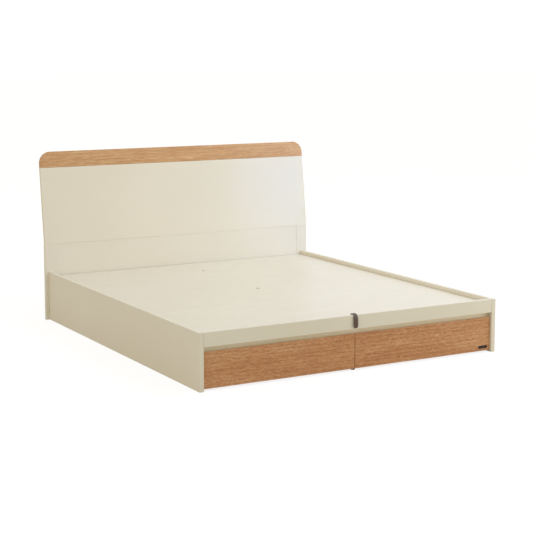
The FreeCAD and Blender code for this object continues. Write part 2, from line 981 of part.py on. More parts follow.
def drawer_plate():
    """A small bare plate at the lower outer corner of the right drawer front."""
    x_end = inner_half - drawer_side_gap - plate_edge
    z_low = drawer_bottom_gap + plate_lift
    return box(
        (x_end - plate_length, x_end),
        (drawer_recess - plate_thickness, drawer_recess),
        (z_low, z_low + plate_height),
    )


def base_pieces():
    """Pieces of the standing base and the headboard."""
    pieces = {
        "foot_rail": foot_rail(),
        "rail_spacer_board": rail_spacer_board(),
        "grip_backing_rail": grip_backing_rail(),
        "drawer_partition": drawer_partition(),
        "drawer_bay_top": drawer_bay_top(),
        "storage_cross_panel": storage_cross_panel(),
        "head_cross_panel": head_cross_panel(),
        "platform_battens": platform_battens(),
        "floor_battens": floor_battens(),
        "glide_feet": glide_feet(),
        "steel_angles": steel_angles(),
        "angle_screws": angle_screws(),
        "headboard_middle_panel": headboard_middle_panel(),
        "headboard_upper_panel": headboard_upper_panel(),
        "headboard_top_band": headboard_top_band(),
        "headboard_bolts": headboard_bolts(),
    }
    for name, side in SIDES:
        pieces[f"side_panel_{name}"] = side_panel(side)
        pieces[f"storage_floor_{name}"] = storage_floor(side)
        pieces[f"headboard_stile_{name}"] = headboard_stile(side)
        pieces[f"headboard_brace_{name}"] = headboard_brace(side)
        pieces[f"hinge_bracket_{name}"] = hinge_bracket(side)
        pieces[f"strut_anchor_{name}"] = strut_anchor(side)
        pieces[f"cabinet_runners_{name}"] = cabinet_runners(side)
    return pieces


def platform_pieces():
    """Pieces that rise with the platform, and the struts that lift it."""
    pieces = {
        "deck_board_foot": deck_board_foot(),
        "deck_board_head": deck_board_head(),
        "platform_cross_tubes": platform_cross_tubes(),
        "tube_end_caps": tube_end_caps(),
        "hinge_ears": hinge_ears(),
        "strut_ears": [strut_ear(side) for _, side in SIDES],
        "pull_strap": pull_strap(),
        "strap_plate": strap_plate_piece(),
        "strap_screws": strap_screws(),
    }
    for name, side in SIDES:
        pieces[f"platform_side_tube_{name}"] = platform_side_tube(side)
        pieces[f"platform_inner_tubes_{name}"] = platform_inner_tubes(side)
        pieces[f"strut_cylinder_{name}"] = strut_cylinder(side)
        pieces[f"strut_rod_{name}"] = strut_rod(side)
    return pieces


def drawer_pieces():
    """Pieces of both drawers and their runners."""
    pieces = {"drawer_plate": drawer_plate()}
    for name, side in SIDES:
        pieces[f"drawer_front_{name}"] = drawer_front(side)
        pieces[f"drawer_sides_{name}"] = drawer_sides(side)
        pieces[f"drawer_back_{name}"] = drawer_back(side)
        pieces[f"drawer_bottom_{name}"] = drawer_bottom(side)
        pieces[f"middle_runners_{name}"] = middle_runners(side)
        pieces[f"drawer_runners_{name}"] = drawer_runners(side)
    return pieces


def write_piece(name, piece):
    """Writes one piece, or group of like pieces, about the bed's origin."""
    shape = Part.Compound(piece) if isinstance(piece, list) else piece
    shape = shape.copy()
    shape.translate(Vector(0, -origin_y, 0))
    shape.exportStep(f"parts/{name}.step")


def main():
    """Builds and writes every piece."""
    os.makedirs("parts", exist_ok=True)
    pieces = base_pieces()
    pieces.update(platform_pieces())
    pieces.update(drawer_pieces())
    for name, piece in pieces.items():
        write_piece(name, piece)
    print(len(pieces), "pieces, origin at y =", round(origin_y, 3))


main()
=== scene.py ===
"""Looks of the storage bed: boards with eased edges, oak veneer, lacquer, leather, steel and studio.

Lengths are in metres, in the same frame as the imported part: +X to the right as seen from the
foot end, +Y from the foot rail to the headboard, +Z up, with the floor at Z = 0.
"""
import logging
import math
from dataclasses import dataclass, replace
from enum import Enum, IntEnum
from typing import Sequence

import bmesh
import bpy
from mathutils import Matrix, Vector


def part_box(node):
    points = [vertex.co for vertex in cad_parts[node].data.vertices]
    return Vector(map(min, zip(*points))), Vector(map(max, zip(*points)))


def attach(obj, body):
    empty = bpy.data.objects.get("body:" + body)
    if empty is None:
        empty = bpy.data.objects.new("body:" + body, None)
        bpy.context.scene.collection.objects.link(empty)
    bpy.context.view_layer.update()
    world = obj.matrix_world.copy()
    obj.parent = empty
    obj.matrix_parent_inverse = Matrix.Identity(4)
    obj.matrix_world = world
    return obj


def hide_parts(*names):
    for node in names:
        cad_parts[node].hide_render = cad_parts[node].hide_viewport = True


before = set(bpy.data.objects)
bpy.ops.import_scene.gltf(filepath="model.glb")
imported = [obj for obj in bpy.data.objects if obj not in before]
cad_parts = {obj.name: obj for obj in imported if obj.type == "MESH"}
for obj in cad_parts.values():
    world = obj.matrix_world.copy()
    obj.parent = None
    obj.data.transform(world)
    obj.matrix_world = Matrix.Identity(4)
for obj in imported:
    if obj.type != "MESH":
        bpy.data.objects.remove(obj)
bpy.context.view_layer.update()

log = logging.getLogger("bed")

Pair = tuple[float, float]
Triple = tuple[float, float, float]
Loop = list[Pair]
Loops = Sequence[Loop]
Profile = Sequence[Pair]
Colour = Triple
Layer = tuple[float | Triple, ...]
Socket = bpy.types.NodeSocket
Material = bpy.types.Material
Piece = bpy.types.Object

SIDES: tuple[tuple[str, int], ...] = (("left", -1), ("right", 1))
RIGHT, REAR, UP = Vector((1, 0, 0)), Vector((0, 1, 0)), Vector((0, 0, 1))
STAY = (0.0, 0.0, 0.0)

# Places of the boards in a row, as shares of the way from the left one to the right one.
AT_SIDES, AT_SIDES_AND_MIDDLE = (0.0, 1.0), (0.0, 0.5, 1.0)

# Turns in degrees: a quarter and a whole one, and the least ones that leave an edge sharp.
QUARTER, WHOLE = 90.0, 360.0
SHARP, HEAD_SHARP, ROUND_SHARP = 32.0, 35.0, 40.0

# Faces round a fine turned piece, and a length below which two points are one.
ROUND_COUNT = 40
TINY = 1e-6

# The range that soft noise mostly keeps to.
MIDDLE = (0.3, 0.7)

# Kinds of sum, and the sockets of a node that mixes colours.
ADD, TIMES, MINUS = "ADD", "MULTIPLY", "SUBTRACT"
MIX_SHARE, MIX_FIRST, MIX_SECOND, MIX_RESULT = 0, 6, 7, 2


def linear(colour: Colour) -> tuple[float, ...]:
    """Turns a colour as seen on a screen into scene-linear light with full opacity."""
    knee, slope, offset, power = 0.04045, 12.92, 0.055, 2.4
    return (*(c / slope if c <= knee else ((c + offset) / (1 + offset)) ** power for c in colour), 1.0)


class Recipe:
    """A small helper that lays out the nodes of one material or world."""

    edge_samples: int = 4
    edge_turn: Pair = (0.02, 0.22)
    edge_noise: Layer = (60.0, 4.0)
    edge_breaks: tuple[float, ...] = (0.35, 1.0, 0.35, 0.65)

    def __init__(self, name: str, library: str = "materials") -> None:
        """Starts an empty material or world.

        Args:
            name: Its name.
            library: The collection that it belongs to.
        """
        self.owner = getattr(bpy.data, library).new(name)
        self.owner.use_nodes = True
        self.tree = self.owner.node_tree
        self.tree.nodes.clear()
        self.coordinates = self.add("ShaderNodeTexCoord").outputs["Object"]

    def add(self, kind: str, inputs: dict[str | int, object] | None = None,
            **settings: object) -> bpy.types.Node:
        """Adds a node.

        Args:
            kind: The node's type.
            inputs: The socket to link or the value to set for each of its inputs.
            **settings: Properties of the node.

        Returns:
            The new node.
        """
        node = self.tree.nodes.new(kind)
        for key, value in settings.items():
            setattr(node, key, value)
        for key, value in (inputs or {}).items():
            if isinstance(value, Socket):
                self.tree.links.new(value, node.inputs[key])
            else:
                node.inputs[key].default_value = value
        return node

    def stretched(self, scale: Sequence[float]) -> Socket:
        """The object's coordinates, with each axis scaled."""
        return self.add("ShaderNodeMapping", {"Vector": self.coordinates, "Scale": scale}).outputs["Vector"]

    def noise(self, scale: float | tuple, detail: float = 2.0, warp: float = 0.0,
              roughness: float = 0.5) -> Socket:
        """Soft noise.

        Args:
            scale: Features per metre, for all axes or for each.
            detail: Number of finer layers.
            warp: How much it is warped.
            roughness: How strong the finer layers are.

        Returns:
            The factor output.
        """
        vector, even = self.coordinates, scale
        if isinstance(scale, tuple):
            vector, even = self.stretched(scale), 1.0
        inputs = {"Scale": even, "Detail": detail, "Distortion": warp, "Roughness": roughness}
        return self.add("ShaderNodeTexNoise", {"Vector": vector, **inputs}).outputs["Fac"]

    def range(self, value: Socket, low: float, high: float, start: float = 0.0, end: float = 1.0) -> Socket:
        """Maps a value that runs from start to end onto one that runs from low to high."""
        ends = {"Value": value, "From Min": start, "From Max": end, "To Min": low, "To Max": high}
        return self.add("ShaderNodeMapRange", ends).outputs["Result"]

    def ramp(self, value: Socket, *stops: tuple[float, Colour]) -> Socket:
        """Turns a value into a colour through a ramp.

        Args:
            value: The value that picks the colour.
            *stops: Place and screen colour of each stop.

        Returns:
            The colour output.
        """
        node = self.add("ShaderNodeValToRGB", {"Fac": value})
        elements = node.color_ramp.elements
        while len(elements) < len(stops):
            elements.new(1.0)
        for element, (place, colour) in zip(elements, stops):
            element.position = place
            element.color = linear(colour)
        return node.outputs["Color"]

    def mix(self, share: Socket, first: object, second: object) -> Socket:
        """Mixes two colours, with a share of the second one."""
        inputs = {MIX_SHARE: share, MIX_FIRST: first, MIX_SECOND: second}
        return self.add("ShaderNodeMix", inputs, data_type="RGBA").outputs[MIX_RESULT]

    def combine(self, operation: str, first: object, *others: object) -> Socket:
        """Joins numbers by an operation, one after the other.

        Args:
            operation: The operation.
            first: The first number or socket.
            *others: The others.

        Returns:
            The output of the last step.
        """
        for other in others:
            first = self.add("ShaderNodeMath", {0: first, 1: other}, operation=operation).outputs[0]
        return first

    def bump(self, height: Socket, strength: float, distance: float, **more: Socket) -> Socket:
        """A normal bumped by a height, whose full range is a distance in metres."""
        inputs = {"Height": height, "Strength": strength, "Distance": distance, **more}
        return self.add("ShaderNodeBump", inputs).outputs["Normal"]

    def edges(self, reach: float) -> Socket:
        """A broken mask of the piece's edges, where hands and cloths wear the finish and where some finishes
        paint a highlight.

        Args:
            reach: How far from an edge the wear reaches, in metres.

        Returns:
            The mask, from 0 to 1.
        """
        rounded = self.add("ShaderNodeBevel", {"Radius": reach}, samples=self.edge_samples)
        plain = self.add("ShaderNodeNewGeometry")
        both = {0: rounded.outputs["Normal"], 1: plain.outputs["Normal"]}
        alike = self.add("ShaderNodeVectorMath", both, operation="DOT_PRODUCT").outputs["Value"]
        turn = self.range(self.combine(MINUS, 1.0, alike), 0.0, 1.0, *self.edge_turn)
        return self.combine(TIMES, turn, self.range(self.noise(*self.edge_noise), *self.edge_breaks))

    def edge_wear_and_highlight(self, colour: Socket, edge: Socket, share: float, tone: Colour) -> Socket:
        """A colour that turns to another tone along the edges: wear, and on some finishes a painted
        highlight.
        """
        return self.mix(self.combine(TIMES, edge, share), colour, linear(tone))

    def finish(self, colour: Socket, roughness: Socket, normal: Socket,
               **constants: float) -> Material:
        """Ends the material with its surface shader.

        Args:
            colour: Base colour.
            roughness: Roughness.
            normal: The bumped normal.
            **constants: Other inputs that are the same all over, with spaces as underscores.

        Returns:
            The finished material.
        """
        inputs = {"Base Color": colour, "Roughness": roughness, "Normal": normal}
        inputs.update((key.replace("_", " "), value) for key, value in constants.items())
        shader = self.add("ShaderNodeBsdfPrincipled", inputs)
        self.add("ShaderNodeOutputMaterial", {"Surface": shader.outputs[0]})
        return self.owner


@dataclass(frozen=True)
class CreamLacquer:
    """Satin cream lacquer on board, with a faint orange peel and paler edges: wear from handling, and in the
    deck's copy a painted highlight.
    """

    name: str = "cream_lacquer"
    tone: Colour = (0.882, 0.858, 0.782)
    shade: Colour = (0.868, 0.840, 0.759)
    # Tone of the paler edges: wear from handling, and in the deck's copy a painted highlight.
    wear_and_highlight_tone: Colour = (0.900, 0.880, 0.818)
    edge_reach: float = 0.002
    edge_share: float = 0.5
    wear_gloss: float = 0.06
    cloud: Layer = (1.6, 3.0)
    grain: Layer = (130.0, 2.0)
    peel: Layer = (520.0, 1.0)
    smudge: Layer = (7.0, 4.0)
    cloud_share: float = 0.8
    grain_share: float = 0.2
    roughness: Pair = (0.34, 0.47)
    relief: Pair = (0.10, 0.0003)
    coat: Pair = (0.12, 0.25)

    def make(self) -> Material:
        """Lays out the lacquer's nodes.

        Returns:
            The material.
        """
        recipe = Recipe(self.name)
        cloud = recipe.range(recipe.noise(*self.cloud), 0.0, self.cloud_share, *MIDDLE)
        grain = recipe.range(recipe.noise(*self.grain), 0.0, self.grain_share)
        colour = recipe.ramp(recipe.combine(ADD, cloud, grain), (0.0, self.shade), (1.0, self.tone))
        edge = recipe.edges(self.edge_reach)
        # Paler edges: wear, and in the deck's copy a painted highlight along the boards' eased edges.
        colour = recipe.edge_wear_and_highlight(colour, edge, self.edge_share, self.wear_and_highlight_tone)
        smudges = recipe.range(recipe.noise(*self.smudge), *self.roughness, *MIDDLE)
        roughness = recipe.combine(MINUS, smudges, recipe.combine(TIMES, edge, self.wear_gloss))
        normal = recipe.bump(recipe.noise(*self.peel), *self.relief)
        weight, coat_roughness = self.coat
        return recipe.finish(colour, roughness, normal, Coat_Weight=weight, Coat_Roughness=coat_roughness)


@dataclass(frozen=True)
class OakVeneer:
    """Brushed oak veneer with its grain along X: growth lines, streaks, fibres and open pores."""

    name: str = "oak_veneer"
    pale: Colour = (0.890, 0.743, 0.585)
    middle: Colour = (0.802, 0.601, 0.414)
    dark: Colour = (0.662, 0.420, 0.245)
    pore: Colour = (0.470, 0.290, 0.165)
    stops: Triple = (0.10, 0.50, 0.98)
    growth_stretch: Triple = (0.16, 1.0, 1.0)
    growth: tuple[float, ...] = (15.0, 5.0, 2.0, 0.8, 0.5)
    broad: Layer = ((1.8, 15.0, 15.0), 2.0)
    dashes: Layer = ((27.0, 285.0, 285.0), 5.0, 1.5, 0.64)
    fibres: Layer = ((42.0, 900.0, 900.0), 4.0, 0.0, 0.65)
    pores: Layer = ((60.0, 1500.0, 1500.0), 2.0)
    growth_share: float = 0.18
    broad_share: Pair = (-0.10, 0.12)
    dash_share: tuple[float, ...] = (0.0, 0.84, 0.32, 0.68)
    fibre_share: float = 0.32
    pore_share: tuple[float, ...] = (0.0, 0.75, 0.60, 0.70)
    pore_growth: Pair = (0.35, 1.0)
    pore_depth: float = 1.2
    roughness: Pair = (0.44, 0.60)
    relief: Pair = (0.35, 0.0005)
    specular: float = 0.4
    # Default pale edges, wide and strong: a painted highlight along the drawer fronts' eased edges. The
    # band's copy keeps narrow wear.
    edge_reach: float = 0.0035
    edge_share: float = 0.9

    def make(self) -> Material:
        """Lays out the veneer's nodes.

        Returns:
            The material.
        """
        recipe = Recipe(self.name)
        names = ("Scale", "Distortion", "Detail", "Detail Scale", "Detail Roughness")
        inputs = {"Vector": recipe.stretched(self.growth_stretch), **dict(zip(names, self.growth))}
        bands = {"wave_type": "BANDS", "bands_direction": "Z", "wave_profile": "SAW"}
        growth = recipe.add("ShaderNodeTexWave", inputs, **bands).outputs["Fac"]
        fibres = recipe.noise(*self.fibres)
        body = recipe.combine(
            ADD, recipe.range(growth, 0.0, self.growth_share),
            recipe.range(recipe.noise(*self.dashes), *self.dash_share),
            recipe.range(fibres, 0.0, self.fibre_share, *MIDDLE),
            recipe.range(recipe.noise(*self.broad), *self.broad_share, *MIDDLE),
        )
        colour = recipe.ramp(body, *zip(self.stops, (self.pale, self.middle, self.dark)))
        pores = recipe.range(recipe.noise(*self.pores), *self.pore_share)
        deeper = recipe.combine(TIMES, pores, recipe.range(growth, *self.pore_growth))
        colour = recipe.mix(deeper, colour, linear(self.pore))
        # Pale edges: a painted highlight on the drawer fronts, wear on the band.
        colour = recipe.edge_wear_and_highlight(colour, recipe.edges(self.edge_reach), self.edge_share, self.pale)
        roughness = recipe.range(fibres, *self.roughness, *MIDDLE)
        height = recipe.combine(MINUS, fibres, recipe.combine(TIMES, pores, self.pore_depth))
        normal = recipe.bump(height, *self.relief)
        return recipe.finish(colour, roughness, normal, Specular_IOR_Level=self.specular)


@dataclass(frozen=True)
class PlanedPine:
    """Planed pine of the inner battens, with the grain along Y."""

    tones: tuple[Colour, Colour] = ((0.88, 0.75, 0.56), (0.74, 0.56, 0.36))
    stops: Pair = (0.1, 0.95)
    lines: Layer = ((60.0, 1.6, 60.0), 3.0, 0.8)
    fibres: Layer = ((380.0, 8.0, 380.0), 3.0)
    line_share: float = 0.75
    fibre_share: float = 0.3
    roughness: Pair = (0.5, 0.68)
    relief: Pair = (0.3, 0.0004)

    def make(self) -> Material:
        """Lays out the pine's nodes.

        Returns:
            The material.
        """
        recipe = Recipe("planed_pine")
        fibres = recipe.noise(*self.fibres)
        lines = recipe.range(recipe.noise(*self.lines), 0.0, self.line_share, *MIDDLE)
        body = recipe.combine(ADD, lines, recipe.range(fibres, 0.0, self.fibre_share))
        colour = recipe.ramp(body, *zip(self.stops, self.tones))
        normal = recipe.bump(fibres, *self.relief)
        return recipe.finish(colour, recipe.range(fibres, *self.roughness), normal)


@dataclass(frozen=True)
class BrownLeather:
    """Dark brown leather with a pebbled grain and creases."""

    tones: tuple[Colour, Colour] = ((0.420, 0.345, 0.295), (0.270, 0.205, 0.165))
    stops: Pair = (0.15, 0.9)
    pebble_scale: float = 1500.0
    pebble_end: float = 0.9
    folds: Layer = (70.0, 5.0, 0.6)
    share: float = 0.5
    roughness: Pair = (0.42, 0.62)
    fold_relief: Pair = (0.35, 0.0008)
    pebble_relief: Pair = (0.45, 0.0003)
    specular: float = 0.45

    def make(self) -> Material:
        """Lays out the leather's nodes.

        Returns:
            The material.
        """
        recipe = Recipe("brown_leather")
        inputs = {"Vector": recipe.coordinates, "Scale": self.pebble_scale}
        cells = recipe.add("ShaderNodeTexVoronoi", inputs, feature="F1").outputs["Distance"]
        pebbles = recipe.range(cells, 0.0, 1.0, 0.0, self.pebble_end)
        folds = recipe.noise(*self.folds)
        creases = recipe.range(folds, 0.0, self.share, *MIDDLE)
        body = recipe.combine(ADD, recipe.range(pebbles, 0.0, self.share), creases)
        colour = recipe.ramp(body, *zip(self.stops, self.tones))
        normal = recipe.bump(pebbles, *self.pebble_relief, Normal=recipe.bump(folds, *self.fold_relief))
        roughness = recipe.range(folds, *self.roughness)
        return recipe.finish(colour, roughness, normal, Specular_IOR_Level=self.specular)


@dataclass(frozen=True)
class PlainFinish:
    """A finish of two tones, with layers of noise for its colour, its shine and the relief of its grain."""

    name: str
    tones: tuple[Colour, Colour]
    stops: Pair
    cloud: Layer
    shine: Layer
    roughness: tuple[float, ...]
    grain: Layer
    relief: Pair
    metallic: float = 0.0
    edge_share: float = 0.0
    edge_reach: float = 0.0015

    def make(self) -> Material:
        """Lays out the finish's nodes.

        Returns:
            The material.
        """
        recipe = Recipe(self.name)
        colour = recipe.ramp(recipe.noise(*self.cloud), *zip(self.stops, self.tones))
        if self.edge_share:
            colour = recipe.edge_wear_and_highlight(colour, recipe.edges(self.edge_reach), self.edge_share, self.tones[1])
        roughness = recipe.range(recipe.noise(*self.shine), *self.roughness)
        normal = recipe.bump(recipe.noise(*self.grain), *self.relief)
        return recipe.finish(colour, roughness, normal, Metallic=self.metallic)


PRESSED: Layer = ((700.0, 40.0, 700.0), 3.0)
DRAWN: Layer = ((900.0, 6.0, 900.0), 3.0)
GROUND: Layer = ((60.0, 900.0, 900.0), 3.0)
TWIST: Layer = (2200.0, 1.0)
MELAMINE = PlainFinish("drawer_melamine", ((0.790, 0.755, 0.690), (0.845, 0.820, 0.765)), (0.35, 0.6),
                       PRESSED, (12.0, 3.0), (0.42, 0.55), PRESSED, (0.25, 0.0002))
GREY_COAT = PlainFinish("grey_powder_coat", ((0.27, 0.27, 0.28), (0.3845, 0.3845, 0.398)), (0.45, 0.8),
                        (14.0, 5.0), (30.0, 3.0), (0.42, 0.56, *MIDDLE), (900.0, 2.0), (0.3, 0.0002),
                        edge_share=0.6)
BLACK_PAINT = replace(GREY_COAT, name="black_strut_paint", roughness=(0.28, 0.42, *MIDDLE),
                      tones=((0.085, 0.085, 0.09), (0.13475, 0.13475, 0.1415)))
ZINC_PLATE = PlainFinish("zinc_plate", ((0.744, 0.7533, 0.7626), (0.80, 0.81, 0.82)), (0.35, 0.65),
                         (30.0, 2.0), DRAWN, (0.26, 0.44, *MIDDLE), DRAWN, (0.12, 0.0001), metallic=1.0)
GROUND_ROD = replace(ZINC_PLATE, name="ground_rod", tones=((0.837, 0.837, 0.8463), (0.90, 0.90, 0.91)),
                     shine=GROUND, grain=GROUND, roughness=(0.07, 0.16, *MIDDLE))
WAXED_THREAD = PlainFinish("waxed_thread", ((0.21, 0.1645, 0.133), (0.300, 0.235, 0.190)), MIDDLE,
                           TWIST, TWIST, (0.6, 0.6), TWIST, (0.5, 0.0002))
MOULDING = PlainFinish("black_moulding", ((0.055, 0.050, 0.047), (0.077, 0.070, 0.0658)), (0.4, 0.75),
                       (40.0, 3.0), (25.0, 3.0), (0.42, 0.58), (1600.0, 2.0), (0.25, 0.0001))
SATIN_PLATE = replace(MOULDING, name="plate_satin", roughness=(0.55, 0.68),
                      tones=((0.010, 0.009, 0.009), (0.014, 0.0126, 0.0126)))
Look = CreamLacquer | OakVeneer | PlanedPine | BrownLeather | PlainFinish


class Finish(Enum):
    """Every finish: the record's slot, the last word of its pieces' names, and its look."""

    CREAM = ("cream_board", "lacquered", CreamLacquer())
    # Paler copy for the grip strip in the recess behind the foot rail: painted light, standing in for the
    # light that reaches into the recess.
    CREAM_GAP = ("cream_board", "lacquered",
                 CreamLacquer("cream_lacquer_gap_painted_light", (0.962, 0.918, 0.800), (0.950, 0.903, 0.782)))
    # Paler copy for the upright headboard boards: painted light, making up for the light that the tilted
    # panel above catches more of.
    CREAM_PALE = ("cream_board", "lacquered",
                  CreamLacquer("cream_lacquer_upright_painted_light", (0.898, 0.878, 0.811), (0.884, 0.860, 0.789)))
    # Deck copy: its near-white edge tone, wide and strong, is a painted highlight along the deck boards'
    # eased edges and their seam.
    CREAM_DECK = ("cream_board", "lacquered",
                  CreamLacquer("cream_lacquer_deck_edge_highlight", wear_and_highlight_tone=(0.970, 0.955, 0.905), edge_reach=0.012,
                               edge_share=0.9))
    # Drawer-front oak: its pale eased edges are a painted highlight.
    OAK = ("oak_board", "oak", OakVeneer())
    OAK_BAND = ("oak_board", "oak",
                OakVeneer("oak_veneer_band", (0.885, 0.760, 0.598), (0.812, 0.651, 0.470),
                          (0.721, 0.525, 0.333), (0.614, 0.455, 0.303), edge_reach=0.002, edge_share=0.45,
                          dashes=((9.0, 220.0, 220.0), 5.0, 1.5, 0.64)))
    PINE = ("pine_batten", "planed", PlanedPine())
    DRAWER = ("drawer_board", "melamine", MELAMINE)
    STEEL = ("coated_steel", "coated", GREY_COAT)
    ZINC = ("zinc_steel", "plated", ZINC_PLATE)
    BARREL = ("strut_barrel", "painted", BLACK_PAINT)
    ROD = ("polished_rod", "ground", GROUND_ROD)
    LEATHER = ("brown_leather", "leather", BrownLeather())
    THREAD = ("brown_leather", "stitches", WAXED_THREAD)
    PLASTIC = ("black_plastic", "moulded", MOULDING)
    PLATE = ("black_plate", "bare", SATIN_PLATE)

    def __init__(self, slot: str, word: str, look: Look) -> None:
        """Names the parts of a finish."""
        self.slot, self.word, self.look = slot, word, look


def link(name: str, data: bpy.types.ID) -> Piece:
    """Puts data into the scene as an object.

    Args:
        name: The object's name.
        data: A mesh, curve, light or camera.

    Returns:
        The object.
    """
    piece = bpy.data.objects.new(name, data)
    bpy.context.scene.collection.objects.link(piece)
    return piece


def closed(name: str, graph: bmesh.types.BMesh, sharp: float = SHARP) -> Piece:
    """Turns a graph's faces outwards and makes it a piece with smooth easing and flat faces.

    Args:
        name: The piece's name.
        graph: Its faces, which are used up.
        sharp: Edges that turn by more degrees than this stay sharp.

    Returns:
        The piece.
    """
    bmesh.ops.recalc_face_normals(graph, faces=graph.faces)
    mesh = bpy.data.meshes.new(name)
    graph.to_mesh(mesh)
    graph.free()
    for polygon in mesh.polygons:
        polygon.use_smooth = True
    mesh.set_sharp_from_angle(angle=math.radians(sharp))
    piece = link(name, mesh)
    piece.modifiers.new("even_normals", "WEIGHTED_NORMAL").keep_sharp = True
    return piece


def joined(name: str, solids: Sequence[Piece], sharp: float = SHARP) -> Piece:
    """Joins like solids into one piece.

    Args:
        name: The piece's name.
        solids: The solids, which are used up.
        sharp: As for a closed piece.

    Returns:
        The joined piece.
    """
    graph = bmesh.new()
    for solid in solids:
        graph.from_mesh(solid.data)
        bpy.data.objects.remove(solid)
    return closed(name, graph, sharp)


def skinned(name: str, rings: Sequence[Sequence[Vector]], sharp: float = ROUND_SHARP) -> Piece:
    """Skins rings of points and closes both ends.

    Args:
        name: The piece's name.
        rings: Rings of as many points each, or of one point where the piece ends in its axis.
        sharp: As for a closed piece.

    Returns:
        The piece.
    """
    graph = bmesh.new()
    loops = [[graph.verts.new(point) for point in ring] for ring in rings]
    for near, far in zip(loops, loops[1:]):
        for index in range(max(len(near), len(far))):
            start, end = ((ring[index % len(ring)], ring[(index + 1) % len(ring)]) for ring in (near, far))
            graph.faces.new(list(dict.fromkeys((*start, *reversed(end)))))
    for end in (loops[0][::-1], loops[-1]):
        if len(end) > 1:
            graph.faces.new(end)
    return closed(name, graph, sharp)


def inset(loop: Loop, distance: float) -> Loop:
    """Moves a closed outline towards its inside.

    Args:
        loop: Corners in order, in either direction.
        distance: How far it moves, or less than zero to grow it.

    Returns:
        The moved corners.
    """
    area = sum(a[0] * b[1] - b[0] * a[1] for a, b in zip(loop, loop[1:] + loop[:1]))
    hand = math.copysign(1.0, area)
    moved = []
    for before, corner, after in zip(loop[-1:] + loop, loop, loop[1:] + loop[:1]):
        here = Vector(corner)
        ways = ((here - Vector(before)).normalized(), (Vector(after) - here).normalized())
        first, second = (Vector((-way.y, way.x)) * hand for way in ways)
        along = (first + second) / max(TINY, 1 + first.dot(second))
        moved.append(tuple(here + along * distance))
    return moved


def arc(centre: Sequence[float], radius: float, start: float, sweep: float, steps: int) -> Loop:
    """Points of an arc, with its start and sweep in degrees."""
    turns = [math.radians(start + sweep * step / steps) for step in range(steps + 1)]
    return [(centre[0] + radius * math.cos(turn), centre[1] + radius * math.sin(turn)) for turn in turns]


def circle(centre: Sequence[float], radius: float, count: int = 48) -> Loop:
    """A round outline."""
    return arc(centre, radius, 0.0, WHOLE, count)[:-1]


def rectangle(low: Sequence[float], high: Sequence[float], radius: float = 0.0, steps: int = 6) -> Loop:
    """A rectangle, with rounded corners if a radius is given.

    Args:
        low: The lowest corner.
        high: The highest corner.
        radius: Radius of the corners.
        steps: Spans in each rounded corner.

    Returns:
        The outline, anticlockwise.
    """
    left, bottom, right, top = low[0] + radius, low[1] + radius, high[0] - radius, high[1] - radius
    if radius <= 0:
        return [(left, bottom), (right, bottom), (right, top), (left, top)]
    centres = ((right, bottom), (right, top), (left, top), (left, bottom))
    return [point for turn, centre in enumerate(centres)
            for point in arc(centre, radius, QUARTER * (turn - 1), QUARTER, steps)]


def slab(name: str, loops: Loops, thickness: float, origin: Vector, across: Vector, up: Vector,
         ease: float, rounds: int = 2) -> Piece:
    """A board or section with eased edges, drawn as outlines and grown out of their plane.

    Args:
        name: The piece's name.
        loops: The outer outline first, then the holes.
        thickness: How far it grows, to the side that sees the outlines upright.
        origin: Where the outlines' zero lies.
        across: Direction of an outline's first number.
        up: Direction of its second number.
        ease: Radius of the eased edges.
        rounds: Rows of faces in each eased edge.

    Returns:
        The piece.
    """
    curve = bpy.data.curves.new(name, "CURVE")
    curve.dimensions, curve.fill_mode = "2D", "BOTH"
    curve.extrude = thickness / 2 - ease
    curve.bevel_depth = ease
    curve.bevel_resolution = rounds - 1
    for index, loop in enumerate(loops):
        corners = inset(loop, -ease if index else ease)
        spline = curve.splines.new("POLY")
        spline.points.add(len(corners) - 1)
        for point, corner in zip(spline.points, corners):
            point.co = (*corner, 0.0, 1.0)
        spline.use_cyclic_u = True
    drawn = link(name, curve)
    mesh = bpy.data.meshes.new_from_object(drawn.evaluated_get(bpy.context.evaluated_depsgraph_get()))
    bpy.data.objects.remove(drawn)
    bpy.data.curves.remove(curve)
    turn = Matrix((across, up, across.cross(up))).transposed().to_4x4()
    mesh.transform(Matrix.Translation(origin) @ turn @ Matrix.Translation(UP * (thickness / 2)))
    graph = bmesh.new()
    graph.from_mesh(mesh)
    bpy.data.meshes.remove(mesh)
    bmesh.ops.remove_doubles(graph, verts=graph.verts, dist=TINY)
    return closed(name, graph)


class Axis(IntEnum):
    """The axes of the bed's frame, as places in a vector."""

    X = 0
    Y = 1
    Z = 2


def sawn(name: str, thin: Axis, loops: Loops, low: float, high: float, ease: float,
         rounds: int = 2) -> Piece:
    """A slab across one axis of the bed, with its outlines drawn on the other two.

    Args:
        name, loops, ease, rounds: As for a slab.
        thin: The axis that its thickness lies along.
        low, high: Where it starts and ends on that axis.

    Returns:
        The piece.
    """
    across, up = (axis for axis in (RIGHT, REAR, UP) if not axis[thin])
    origin = Vector(STAY)
    origin[thin] = high if thin is Axis.Y else low
    return slab(name, loops, high - low, origin, across, up, ease, rounds)


def board(name: str, low: Vector, high: Vector, ease: float) -> Piece:
    """A plain board with eased edges, drawn on its largest faces.

    Args:
        name: The piece's name.
        low: Its lowest corner.
        high: Its highest corner.
        ease: Radius of the eased edges, which take up no more than a quarter of the thickness.

    Returns:
        The piece.
    """
    size = high - low
    thin = min(Axis, key=lambda axis: size[axis])
    across, up = (axis for axis in Axis if axis is not thin)
    loop = rectangle((low[across], low[up]), (high[across], high[up]))
    return sawn(name, thin, [loop], low[thin], high[thin], min(ease, size[thin] / 4))


def walled(loops: Loops, side: int, near: float, far: float, ease: float) -> Piece:
    """A plate across X on one side of the bed, between two distances from its middle line."""
    low, high = sorted((side * near, side * far))
    return sawn("plate", Axis.X, loops, low, high, ease)


def angles(count: int) -> list[float]:
    """Even angles of a whole turn."""
    return [math.tau * step / count for step in range(count)]


